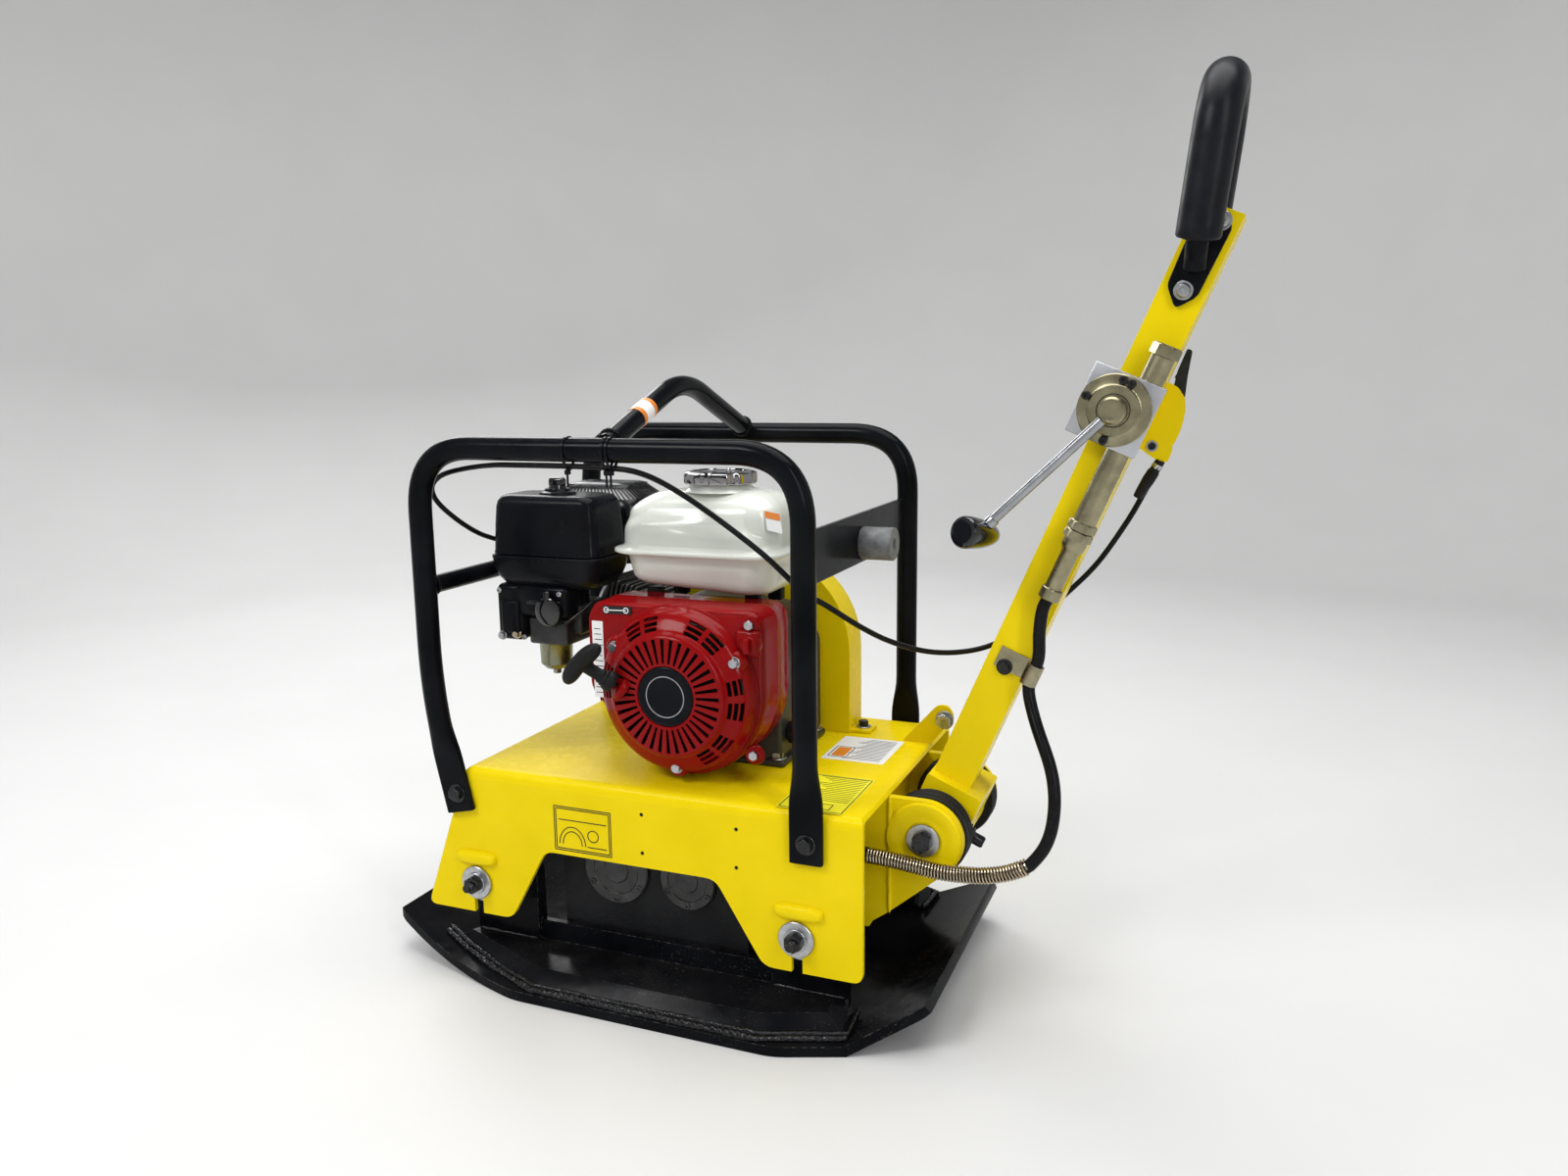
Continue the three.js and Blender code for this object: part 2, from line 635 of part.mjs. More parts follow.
// ---- air cleaner, carburettor, muffler ----
const trayTop = FILTER.seam - GAP;
add('air_cleaner_base', join(
  roundBox(FILTER.x0 - 3, FILTER.x1 + 2, FILTER.y0 - 2, FILTER.y1 + 2, FILTER.z0, trayTop, 14),
  roundBox(-236, -204, -82, -20, 400, FILTER.z0 + 1, 8),
), paint(BLACK, 0.35));
add('air_cleaner_cover', roundBox(FILTER.x0, FILTER.x1, FILTER.y0, FILTER.y1, FILTER.seam,
  FILTER.top, 18), paint(BLACK, 0.35));
const knobX = (FILTER.x0 + FILTER.x1) / 2;
const knobY = (FILTER.y0 + FILTER.y1) / 2;
add('air_cleaner_knob', join(
  barZ(13, FILTER.top + GAP, FILTER.top + 6, knobX, knobY, 20),
  box(knobX - 11, knobX + 11, knobY - 4, knobY + 4, FILTER.top + 5, FILTER.top + 20),
), paint(BLACK, 0.4));
add('carburettor', join(
  roundBox(-200, -140, -78, -14, 392, FILTER.z0 - GAP, 6),
  barZ(22, 350, 393, -171, -48, 24),
  box(-170, -130, -60, 3.5, 405, 445),
), paint(ALLOY, 0.4, 0.8));
add('choke_lever', join(
  barY(7, -86, -78 - GAP, -160, 440, 16),
  box(-164, -156, -84, -80, 440, 462),
), paint(BLACK, 0.5));

function muffler() {
  const shell = (inset) => roundBox(-232 + inset, -92 - inset, 14 + inset, 124 - inset,
    484 + inset, 588 - inset, 20);
  const outlet = barY(10, 115, 126, -200, 545, 16);
  const pipe = box(-150, -110, 30, 70, 479, 485);
  return cut(join(shell(0), pipe), shell(2.5), outlet);
}
add('muffler', muffler(), paint(0x24272b, 0.5, 0.5));

// ---- handle bracket: two ears on a cross wall under the deck's rear edge ----
function handleBracket() {
  const lip = DECK.top - DECK.sheet - GAP;
  const { x, z } = PIVOT;
  const { radius } = EAR;
  const shape = new THREE.Shape();
  shape.moveTo(250, lip - 0.7);
  shape.lineTo(250, 96);
  shape.lineTo(280, 118);
  shape.lineTo(x + radius * 0.62, z - radius * 0.78);
  shape.absarc(x, z, radius, -0.9, Math.PI / 2, false);
  shape.closePath();
  const hole = (y0, y1) => barY(PIVOT.bolt + GAP, y0, y1, x, z, 24);
  const ear = (y0, y1) => cut(prismY(shape, y0, y1, 8), hole(y0 - 1, y1 + 1));
  const wall = box(250, 256, -EAR.outer, EAR.outer, 96, lip - 0.7);
  return join(ear(-EAR.outer, -EAR.inner), ear(EAR.inner, EAR.outer), wall);
}
add('handle_bracket', handleBracket(), paint(YELLOW, 0.3));

const boltEnd = EAR.outer + GAP;
add('pivot_bolt', join(
  barY(PIVOT.bolt, -boltEnd - 1, boltEnd + 16, PIVOT.x, PIVOT.z, 24),
  barY(19, -boltEnd - 4, -boltEnd, PIVOT.x, PIVOT.z, 28),
  barY(13.5, -boltEnd - 14, -boltEnd - 4, PIVOT.x, PIVOT.z, 6),
  barY(15, boltEnd, boltEnd + 12, PIVOT.x, PIVOT.z, 6),
), paint(ZINC, 0.3, 1));

[['left', -1], ['right', 1]].forEach(([hand, side]) => {
  const [a, b] = [side * (52 + GAP), side * (EAR.inner - GAP)].sort((p, q) => p - q);
  const ring = cut(
    barY(48, a, b, PIVOT.x, PIVOT.z, 32),
    barY(PIVOT.bolt + GAP, a - 1, b + 1, PIVOT.x, PIVOT.z, 24),
  );
  add(`pivot_rubber_${hand}`, ring, paint(RUBBER, 0.8));
});

// ---- handle: local x is fore and aft, local z runs up the pole ----
const handle = new THREE.Group();
handle.position.set(PIVOT.x, 0, PIVOT.z);
handle.rotation.y = rad(PIVOT.tilt);
part.add(handle);

const tiltX = Math.cos(rad(PIVOT.tilt));
const tiltZ = Math.sin(rad(PIVOT.tilt));
// point of the machine's frame, in the handle's own frame
function inHandle(x, y, z) {
  const dx = x - PIVOT.x;
  const dz = z - PIVOT.z;
  return vec(dx * tiltX - dz * tiltZ, y, dx * tiltZ + dz * tiltX);
}

function handlePole() {
  const { front, rear, half, top, wall } = POLE;
  const side = roundOutline([
    [FOOT.front, FOOT.top], [FOOT.front, 12], [-20, -26], [20, -26], [FOOT.rear, 8],
    [FOOT.rear, FOOT.top],
  ], 3);
  const body = join(
    box(front, rear, -half, half, FOOT.top - 2, top),
    prismY(side, -FOOT.half, FOOT.half, 2),
    barY(FOOT.hub, -52, 52, 0, 0, 32),
  );
  return cut(body,
    box(front + wall, rear - wall, -half + wall, half - wall, FOOT.top + 4, top - wall),
    barY(PIVOT.bolt + GAP, -60, 60, 0, 0, 24),
    barX(4, rear - wall - 1, rear + 1, 0, 80, 10));
}
add('handle_pole', handlePole(), paint(YELLOW, 0.3), handle);

// grip loop: two legs and a half round top, in the machine's frame
function loopPath(inset) {
  const lean = Math.tan(rad(LOOP.lean));
  const at = (y, z) => inHandle(LOOP.x + (z - LOOP.foot) * lean, y, z);
  const points = [];
  const legs = [];
  for (let i = 0; i <= 12; i += 1) {
    const z = LOOP.foot + inset + ((LOOP.spring - LOOP.foot - inset) * i) / 12;
    const flare = THREE.MathUtils.smoothstep(z, LOOP.foot, LOOP.cuff + 5);
    legs.push([THREE.MathUtils.lerp(39, LOOP.half, flare), z]);
  }
  legs.forEach(([y, z]) => points.push(at(-y, z)));
  for (let i = 1; i < 8; i += 1) {
    const angle = Math.PI - (i / 8) * Math.PI;
    points.push(at(LOOP.half * Math.cos(angle), LOOP.spring + LOOP.half * Math.sin(angle)));
  }
  legs.reverse().forEach(([y, z]) => points.push(at(y, z)));
  return new THREE.CatmullRomCurve3(points);
}

function gripFrame() {
  const plate = roundOutline([[-24, 688], [-22, 640], [-5, 622], [10, 640], [12, 712], [0, 724],
    [-10, 716]], 6);
  const inner = POLE.half + GAP;
  return join(
    prismY(plate, -inner - 5, -inner, 3),
    prismY(plate, inner, inner + 5, 3),
    solid(tube(loopPath(0), LOOP.tube, 36)),
  );
}
add('grip_frame', gripFrame(), paint(BLACK, 0.35), handle);
add('grip_foam', solid(tube(loopPath(LOOP.cuff - LOOP.foot), LOOP.foam, 28, 12, LOOP.tube + 1.8)),
  paint(RUBBER, 0.6), handle);

// ---- travel control: body with flange and cylinder, rack piston, lever and knob ----
function controlBody() {
  const { w, u, plate, y0, cylinderW: cw, cylinderY: cy } = HEAD;
  const face = -POLE.half - GAP;
  const inner = y0 + 6;
  return cut(
    join(
      box(w - 22, w + 30, inner, face, u - 30, u + 30),
      box(w - plate, w + plate, y0, inner, u - plate, u + plate),
      barY(37, y0 - 12, y0, w, u, 36),
      barY(26, y0 - 17, y0 - 12, w, u, 32),
      barZ(12.5, 392, 576, cw, cy),
      barZ(15.4, 576, 588, cw, cy, 6),
      barZ(15.4, 372, 392, cw, cy, 6),
      barZ(13, 360, 372, cw, cy, 16),
      barZ(9.5, 300, 360, cw, cy, 16),
    ),
    barZ(8.5, 400, 589, cw, cy, 20),
    barY(11.6, inner + 0.5, face - 3, w, u, 24),
    barY(8 + GAP, y0 - 18, inner + 1, w, u, 24),
  );
}
add('control_body', controlBody(), paint(OLIVE, 0.35, 0.9), handle);
add('rack_piston', barZ(8.2, 470, 548, HEAD.cylinderW, HEAD.cylinderY, 20), paint(ALLOY, 0.3, 1),
  handle);

const leverTurn = rad(LEVER.lean);
const leverDown = vec(-Math.sin(leverTurn), 0, -Math.cos(leverTurn));
const hub = vec(HEAD.w, LEVER.y, HEAD.u);
const knobAt = hub.clone().addScaledVector(leverDown, LEVER.length + LEVER.knob);
const rodEnd = hub.clone().addScaledVector(leverDown, LEVER.length + 10);
const rod = barBetween(hub, rodEnd, LEVER.rod, 14);
add('travel_lever', join(
  barY(10.8, HEAD.y0 + 7, -POLE.half - 5, HEAD.w, HEAD.u, 24),
  barY(8, -74, HEAD.y0 + 8, HEAD.w, HEAD.u, 24),
  barY(14, -87, HEAD.y0 - 17 - GAP, HEAD.w, HEAD.u, 28),
  rod,
), paint(ZINC, 0.3, 1), handle);

const knobAxis = vec(0.42, 0.9, 0).normalize();
const onKnob = (distance) => knobAt.clone().addScaledVector(knobAxis, distance);
add('travel_knob', cut(
  join(
    barBetween(onKnob(-28), onKnob(-12), LEVER.knobNear, 24),
    barBetween(onKnob(-12.5), onKnob(28), LEVER.knobNear, 24, LEVER.knobFar),
  ),
  barBetween(hub, rodEnd.clone().addScaledVector(leverDown, GAP), LEVER.rod + GAP, 14),
), paint(BLACK, 0.2), handle);

// ---- throttle ----
const throttlePlate = roundOutline([[POLE.rear + GAP, 479], [40, 475], [53.5, 477], [53, 496], [51, 514],
  [46.5, 533], [40, 545], [29, 552], [POLE.rear + GAP, 553]], 4);
add('throttle_bracket', prismY(throttlePlate, 2, 8, 3), paint(YELLOW, 0.3), handle);
const throttleArm = roundOutline([[31, 515], [46, 518], [40, 545], [33, 566], [26, 591], [20.5, 591],
  [21.5, 566], [27, 540]], 2.5);
add('throttle_lever', join(
  prismY(throttleArm, 8 + GAP, 11.5, 3),
  barY(9, 8 + GAP, 16, 38, 525, 20),
  barY(6, 9, 21, 27, 562, 20),
), paint(BLACK, 0.4), handle);

// ---- cords, each along its real route ----
const clampAt = vec(25, -38, 214);
const guardRoute = [
  vec(439, -105.5, 203.5), vec(418, -108, 194), vec(395, -110, 188.5), vec(370, -111, 186),
  vec(346, -112, 186), vec(318, -112, 188.5), vec(290, -112, 191.5), vec(262, -112, 193),
];
const guardRun = guardRoute[1].clone().sub(guardRoute[0]).normalize();
const beforeGuard = (distance) => {
  const point = guardRoute[0].clone().addScaledVector(guardRun, -distance);
  return inHandle(point.x, point.y, point.z);
};
const hoseRoute = [
  vec(HEAD.cylinderW, HEAD.cylinderY, 299), vec(HEAD.cylinderW, HEAD.cylinderY, 286),
  vec(13, -42, 262), vec(22, -39, 240), vec(25, -38, 228), clampAt, vec(25, -38, 198),
  inHandle(429, -46, 362), inHandle(438, -60, 340), inHandle(452, -72, 318), inHandle(462, -82, 292),
  inHandle(464, -90, 264), inHandle(462, -97, 240), inHandle(456, -102, 220), beforeGuard(9),
  beforeGuard(2),
];
add('hydraulic_hose', tube(new THREE.CatmullRomCurve3(hoseRoute), HOSE, 36, 10), paint(RUBBER, 0.35),
  handle);
add('spring_guard', tube(new THREE.CatmullRomCurve3(guardRoute), 9.5, 18), paint(0x9a8a5a, 0.3, 1));
const pipePath = bentPath([vec(250, -112, 193), vec(160, -112, 193), vec(124, -112, 165)], 18);
add('hydraulic_pipe', join(
  solid(tube(pipePath, 5, 14, 10)),
  barX(10, 238, 260, -112, 193, 6),
), paint(OLIVE, 0.35, 0.9));

const band = cut(
  join(barZ(9.6, 202, 226, clampAt.x, clampAt.y, 18), box(-16, clampAt.x, -30.6, -POLE.half - GAP, 202, 226)),
  barZ(HOSE + 0.9, 200, 228, clampAt.x, clampAt.y, 18),
  box(POLE.front, POLE.rear + 40, -POLE.half - GAP, 0, 200, 228),
);
add('hose_clamp', band, paint(0x8f8456, 0.35, 1), handle);

const cableRoute = [
  vec(-184, -10.5, 446), vec(-194, -3, 452), vec(-208, 6, 461), vec(-224, 8, 474), vec(-240, 8, 490),
  vec(-251, 4, 502), vec(-258, -14, 511), vec(-260, -50, 521), vec(-259, -90, 535),
  vec(-263, -125, 556), vec(-270, -150, 580), vec(-266, -162, 599), vec(-247, -167, 613),
  vec(-209, -176, 622), vec(-162, -187, 628), vec(-120, -191, 629), vec(-57, -191, 629),
  vec(-8, -191, 628), vec(26, -189, 624), vec(58, -184, 611), vec(102, -178, 584), vec(162, -170, 540),
  vec(204, -160, 500), vec(224, -141, 482), vec(251, -100, 451), vec(273, -60, 428), vec(303, -22, 411),
  vec(334, 12, 405), vec(366, 34, 411), vec(406, 43, 434), vec(450, 43, 477), vec(483, 40, 514),
  vec(513, 30, 561), vec(530, 18, 593), vec(539, 8, 612),
];
add('throttle_cable', tube(new THREE.CatmullRomCurve3(cableRoute), CABLE, 78, 8), paint(RUBBER, 0.4));

export default part;
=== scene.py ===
"""Reversible plate compactor: looks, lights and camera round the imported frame."""
from math import copysign, cos, pi, radians, sin, sqrt, tan

import bmesh
import bpy
from mathutils import Matrix, Vector
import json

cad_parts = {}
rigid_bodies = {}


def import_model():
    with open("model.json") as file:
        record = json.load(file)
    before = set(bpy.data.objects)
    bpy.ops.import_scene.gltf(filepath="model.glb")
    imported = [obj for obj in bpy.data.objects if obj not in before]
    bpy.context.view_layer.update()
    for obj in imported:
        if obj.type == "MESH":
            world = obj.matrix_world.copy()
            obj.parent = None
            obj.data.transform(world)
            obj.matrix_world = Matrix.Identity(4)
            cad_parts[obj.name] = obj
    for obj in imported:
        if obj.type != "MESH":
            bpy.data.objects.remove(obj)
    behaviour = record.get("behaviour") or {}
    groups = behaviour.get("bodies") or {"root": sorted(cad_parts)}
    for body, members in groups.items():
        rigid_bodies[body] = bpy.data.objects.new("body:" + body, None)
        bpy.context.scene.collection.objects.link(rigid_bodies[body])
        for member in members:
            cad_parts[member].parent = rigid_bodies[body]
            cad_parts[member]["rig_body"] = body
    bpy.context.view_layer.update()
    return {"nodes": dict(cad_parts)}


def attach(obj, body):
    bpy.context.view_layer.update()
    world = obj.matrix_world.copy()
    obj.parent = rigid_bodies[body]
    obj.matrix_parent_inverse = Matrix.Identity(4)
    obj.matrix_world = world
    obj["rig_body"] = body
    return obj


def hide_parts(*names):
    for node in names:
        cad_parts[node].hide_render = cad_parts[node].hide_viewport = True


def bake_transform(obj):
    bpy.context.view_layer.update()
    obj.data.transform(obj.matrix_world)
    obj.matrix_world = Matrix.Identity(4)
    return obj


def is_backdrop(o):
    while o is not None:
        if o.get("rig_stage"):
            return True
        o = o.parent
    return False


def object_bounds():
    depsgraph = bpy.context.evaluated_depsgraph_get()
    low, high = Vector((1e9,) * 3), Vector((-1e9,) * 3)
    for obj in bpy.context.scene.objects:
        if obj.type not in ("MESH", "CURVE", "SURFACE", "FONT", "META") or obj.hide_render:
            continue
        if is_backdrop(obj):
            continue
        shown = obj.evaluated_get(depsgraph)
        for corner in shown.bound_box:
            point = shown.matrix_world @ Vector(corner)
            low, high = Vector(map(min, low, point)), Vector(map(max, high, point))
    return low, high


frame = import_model()
MM = 0.001
X, Y, Z = Vector((1, 0, 0)), Vector((0, 1, 0)), Vector((0, 0, 1))


def V(x, y, z):
    return Vector((x, y, z))


# ---- camera and light
def make_camera():
    data = bpy.data.cameras.new("camera")
    camera = bpy.data.objects.new("camera", data)
    bpy.context.scene.collection.objects.link(camera)
    a, e, r = (radians(v) for v in (22.13, 10.34, -0.65))
    back = V(sin(a) * cos(e), -cos(a) * cos(e), sin(e))
    right = V(cos(a), sin(a), 0)
    up = back.cross(right)
    across = right * cos(r) + up * sin(r)
    over = up * cos(r) - right * sin(r)
    turn = Matrix((across, over, back)).transposed().to_4x4()
    camera.matrix_world = Matrix.Translation(V(0.64802, -1.30253, 0.72689)) @ turn
    data.sensor_width = 36
    data.lens = 27.05
    data.clip_start = 0.02
    bpy.context.scene.camera = camera


def area_light(name, at, aim, size, power):
    data = bpy.data.lights.new(name, "AREA")
    data.shape = "RECTANGLE"
    data.size, data.size_y = size
    data.energy = power
    light = bpy.data.objects.new(name, data)
    bpy.context.scene.collection.objects.link(light)
    light.location = at
    light.rotation_euler = (Vector(aim) - Vector(at)).to_track_quat("-Z", "Y").to_euler()


def make_world():
    world = bpy.data.worlds.new("studio")
    bpy.context.scene.world = world
    world.use_nodes = True
    nodes, links = world.node_tree.nodes, world.node_tree.links
    nodes.clear()
    out = nodes.new("ShaderNodeOutputWorld")
    mix = nodes.new("ShaderNodeMixShader")
    path = nodes.new("ShaderNodeLightPath")
    lit, seen = nodes.new("ShaderNodeBackground"), nodes.new("ShaderNodeBackground")
    lit.inputs["Color"].default_value = (0.93, 0.96, 1, 1)
    lit.inputs["Strength"].default_value = 0.13
    seen.inputs["Color"].default_value = (0.92, 0.92, 0.91, 1)
    links.new(path.outputs["Is Camera Ray"], mix.inputs[0])
    links.new(lit.outputs[0], mix.inputs[1])
    links.new(seen.outputs[0], mix.inputs[2])
    links.new(mix.outputs[0], out.inputs[0])


make_camera()
make_world()
area_light("key", (-1.5, -2.6, 3.0), (0.05, 0, 0.35), (1.5, 1.0), 70)
area_light("strip", (2.3, -1.8, 2.0), (0.1, 0, 0.4), (0.3, 2.2), 26)
area_light("overhead", (0.1, 0.3, 3.4), (0, 0, 0.2), (3.4, 2.4), 104)
area_light("back", (-2.4, 2.2, 2.4), (0, 0, 0.4), (1.4, 1.8), 40)


# ---- materials
class Look:
    """One procedural material: colour drift, roughness drift, grain, worn edges, dust and specks."""

    def __init__(self, name, color, rough, metal=0.0, drift=0.12, drift_scale=14, grain=0.12,
                 grain_scale=900, grain_size=0.0004, coat=0.0, wear=None, wear_share=0.5,
                 dust=None, dust_share=0.25, specks=None, brushed=None, sheen=0.5):
        self.mat = bpy.data.materials.new(name)
        self.mat.use_nodes = True
        self.tree = self.mat.node_tree
        self.shader = next(n for n in self.tree.nodes if n.type == "BSDF_PRINCIPLED")
        self.place = self.node("TexCoord").outputs["Object"]
        self.fill(self.shader, {"Metallic": metal, "Specular IOR Level": sheen})
        if coat:
            self.fill(self.shader, {"Coat Weight": coat, "Coat Roughness": 0.06})
        pale = tuple(min(1, c * (1 + drift) + 0.004) for c in color)
        deep = tuple(c * (1 - drift) for c in color)
        result = self.mix(self.ramp(self.noise(drift_scale, 5), 0.3, 0.7), deep, pale)
        if specks:
            speck_color, speck_scale = specks
            spots = self.ramp(self.noise(speck_scale, 2), 0.66, 0.7)
            clouds = self.ramp(self.noise(9, 3), 0.45, 0.62)
            result = self.mix(self.product(spots, clouds), result, speck_color)
        if dust:
            facing = self.node("SeparateXYZ", self.node("NewGeometry").outputs["Normal"])
            level = self.ramp(facing.outputs["Z"], 0.55, 0.95)
            patch = self.ramp(self.noise(26, 8), 0.35, 0.75)
            result = self.mix(self.product(level, patch, dust_share), result, dust)
        if wear:
            chips = self.ramp(self.noise(150, 6), 0.5, 0.62)
            result = self.mix(self.product(self.edge_mask(0.0011), chips, wear_share), result, wear)
        self.link(result, self.shader.inputs["Base Color"])
        smear = self.ramp(self.noise(55, 6), 0.3, 0.7, max(0.03, rough - 0.06), rough + 0.09)
        self.link(smear, self.shader.inputs["Roughness"])
        if brushed:
            streaks = self.node("Mapping", self.place, {"Scale": brushed})
            fine = self.noise(60, 4, streaks.outputs[0])
        else:
            fine = self.noise(grain_scale, 3)
        bump = self.node("Bump", None, {"Strength": grain, "Distance": grain_size})
        self.link(fine, bump.inputs["Height"])
        self.link(bump.outputs[0], self.shader.inputs["Normal"])

    def node(self, kind, source=None, values=None):
        """New node: source feeds its first socket, values fill sockets by name."""
        n = self.tree.nodes.new("ShaderNode" + kind)
        if source is not None:
            self.link(source, n.inputs[0])
        self.fill(n, values or {})
        return n

    def fill(self, node, values):
        for socket, value in values.items():
            node.inputs[socket].default_value = value

    def link(self, a, b):
        self.tree.links.new(a, b)

    def noise(self, scale, detail, place=None):
        place = self.place if place is None else place
        return self.node("TexNoise", place, {"Scale": scale, "Detail": detail}).outputs[0]

    def ramp(self, value, low, high, low_out=0.0, high_out=1.0):
        return self.node("MapRange", value, {"From Min": low, "From Max": high,
                                             "To Min": low_out, "To Max": high_out}).outputs[0]

    def product(self, first, *others):
        for other in others:
            n = self.node("Math", first)
            n.operation = "MULTIPLY"
            if isinstance(other, float):
                n.inputs[1].default_value = other
            else:
                self.link(other, n.inputs[1])
            first = n.outputs[0]
        return first

    def mix(self, factor, a, b):
        n = self.node("Mix")
        n.data_type = "RGBA"
        self.link(factor, n.inputs[0])
        for socket, value in zip((n.inputs[6], n.inputs[7]), (a, b)):
            if isinstance(value, tuple):
                socket.default_value = (*value, 1)
            else:
                self.link(value, socket)
        return n.outputs[2]

    def edge_mask(self, radius):
        """1 on rounded rims, 0 on flat faces."""
        soft = self.node("Bevel", None, {"Radius": radius})
        soft.samples = 3
        dot = self.node("VectorMath", soft.outputs[0])
        dot.operation = "DOT_PRODUCT"
        self.link(self.node("NewGeometry").outputs["Normal"], dot.inputs[1])
        return self.ramp(dot.outputs["Value"], 0.985, 0.9)


STEEL_CHIP = (0.3, 0.3, 0.3)
YELLOW = Look("yellow_enamel", (0.82, 0.625, 0.001), 0.25, coat=0.02, drift=0.04, grain=0.08,
              grain_scale=420, grain_size=0.0003, wear=(0.3, 0.2, 0.03), wear_share=0.3,
              dust=(0.5, 0.42, 0.06), dust_share=0.03, sheen=0.06)
BLACK = Look("black_enamel", (0.003, 0.0035, 0.005), 0.16, drift=0.3, grain=0.05, grain_scale=380,
             wear=STEEL_CHIP, wear_share=0.2, dust=(0.1, 0.09, 0.07), dust_share=0.02, sheen=0.055)
BASE_BLACK = Look("base_enamel", (0.003, 0.0035, 0.005), 0.17, drift=0.35, grain=0.16,
                  grain_scale=60, grain_size=0.0005, wear=(0.3, 0.29, 0.27), wear_share=0.4,
                  dust=(0.14, 0.12, 0.09), dust_share=0.05, specks=((0.06, 0.06, 0.055), 420), sheen=0.045)
WELD = Look("painted_weld", (0.003, 0.0035, 0.005), 0.1, coat=0.06, drift=0.3, grain=1,
            grain_scale=150, grain_size=0.0022, wear=(0.05, 0.05, 0.05), wear_share=0.2, sheen=0.3)
CAST_BLACK = Look("cast_enamel", (0.007, 0.0075, 0.009), 0.38, drift=0.3, grain=0.5, grain_scale=260,
                  grain_size=0.0012, dust=(0.1, 0.09, 0.07), dust_share=0.08, sheen=0.12)
RED = Look("red_enamel", (0.235, 0.002, 0.003), 0.15, coat=0.06, drift=0.08, grain=0.05,
           grain_scale=500, dust=(0.25, 0.05, 0.04), dust_share=0.02, sheen=0.07)
TANK = Look("tank_enamel", (0.69, 0.715, 0.65), 0.18, coat=0.3, drift=0.035, grain=0.05,
            grain_scale=300, dust=(0.5, 0.48, 0.42), dust_share=0.12, sheen=0.4)
ZINC = Look("zinc_plate", (0.42, 0.43, 0.45), 0.3, metal=1, drift=0.18, drift_scale=160, grain=0.2,
            wear=(0.2, 0.19, 0.18), wear_share=0.4)
ROD = Look("drawn_rod", (0.34, 0.35, 0.37), 0.24, metal=1, drift=0.12, drift_scale=40, grain=0.02,
           grain_scale=200, grain_size=0.0001)
OXIDE = Look("black_oxide", (0.02, 0.021, 0.023), 0.26, metal=0.7, drift=0.3, drift_scale=120,
             grain=0.2, wear=(0.2, 0.2, 0.2), wear_share=0.45, sheen=0.6)
OLIVE = Look("olive_passivate", (0.29, 0.262, 0.165), 0.28, metal=1, drift=0.22, drift_scale=60,
             grain=0.15, grain_size=0.0002, wear=(0.45, 0.44, 0.4), wear_share=0.5)
PLATE = Look("milled_plate", (0.5, 0.51, 0.54), 0.34, metal=1, drift=0.1, grain=0.3,
             grain_size=0.0003, brushed=(2, 2, 22))
STEEL = Look("turned_steel", (0.36, 0.36, 0.37), 0.3, metal=1, drift=0.14, drift_scale=90,
             grain=0.25, brushed=(1, 30, 1))
ALLOY = Look("cast_alloy", (0.17, 0.172, 0.175), 0.46, metal=0.85, drift=0.14, drift_scale=40,
             grain=0.6, grain_scale=520, grain_size=0.001, dust=(0.14, 0.12, 0.09), dust_share=0.3)
DARK_ALLOY = Look("dark_alloy", (0.035, 0.036, 0.037), 0.36, metal=0.5, drift=0.25, drift_scale=60,
                  grain=0.5, grain_scale=420, grain_size=0.0008, wear=(0.3, 0.3, 0.28),
                  wear_share=0.5)
BOWL = Look("bowl_alloy", (0.2, 0.2, 0.135), 0.28, metal=0.9, drift=0.2, drift_scale=50, grain=0.3)
RUBBER = Look("moulded_rubber", (0.008, 0.008, 0.009), 0.5, drift=0.25, grain=0.3,
              grain_scale=600, dust=(0.07, 0.065, 0.05), dust_share=0.08, sheen=0.15)
GREY_RUBBER = Look("buffer_rubber", (0.13, 0.135, 0.14), 0.6, drift=0.35, drift_scale=90, grain=0.5,
                   grain_scale=320, grain_size=0.001)
FOAM = Look("grip_foam", (0.006, 0.0065, 0.009), 0.34, drift=0.1, drift_scale=60, grain=0.2,
            grain_scale=1500, grain_size=0.0003, sheen=0.13)
HOSE = Look("hose_cover", (0.006, 0.006, 0.007), 0.26, drift=0.25, grain=0.06, grain_scale=900,
            sheen=0.1)
PLASTIC = Look("black_moulding", (0.005, 0.0055, 0.0075), 0.2, drift=0.1, grain=0.1,
               grain_scale=1300, grain_size=0.0002, dust=(0.06, 0.055, 0.05), dust_share=0.02,
               sheen=0.07)
GLOSS = Look("gloss_knob", (0.004, 0.004, 0.005), 0.08, coat=0.4, drift=0.2, grain=0.05, sheen=0.5)
SPRING = Look("guard_wire", (0.5, 0.42, 0.3), 0.2, metal=1, drift=0.3, drift_scale=40, grain=0.05)
# Bright sheet for behind the muffler guard's slots: painted light, so the slots show pale as if lit through.
SLOT_LIGHT_SHEET = Look("painted_light_sheet", (0.7, 0.7, 0.69), 0.45, metal=0.2, drift=0.1, grain=0.1)
# Chrome with its colour lowered: painted dark reflection, in place of the dim surroundings it would mirror.
CHROME_PAINTED_DARK = Look("chrome_painted_dark_reflection", (0.33, 0.32, 0.33), 0.06, metal=1, drift=0.05, grain=0.04)
EXHAUST = Look("exhaust_enamel", (0.009, 0.0095, 0.011), 0.24, metal=0.3, drift=0.3, grain=0.15,
               grain_scale=500, wear=(0.12, 0.1, 0.09), wear_share=0.3, sheen=0.35)
LABEL = Look("label_film", (0.86, 0.87, 0.88), 0.4, drift=0.03, grain=0.05)
LABEL_YELLOW = Look("label_yellow", (0.9, 0.84, 0.02), 0.36, drift=0.04, grain=0.05)
LABEL_ORANGE = Look("label_orange", (0.75, 0.22, 0.02), 0.36, drift=0.04, grain=0.05)
INK = Look("label_ink", (0.01, 0.01, 0.01), 0.5, drift=0.1, grain=0.05, sheen=0.3)
SHADE = Look("unlit_inside", (0.004, 0.004, 0.004), 0.8, drift=0.1, grain=0.05, sheen=0.1)


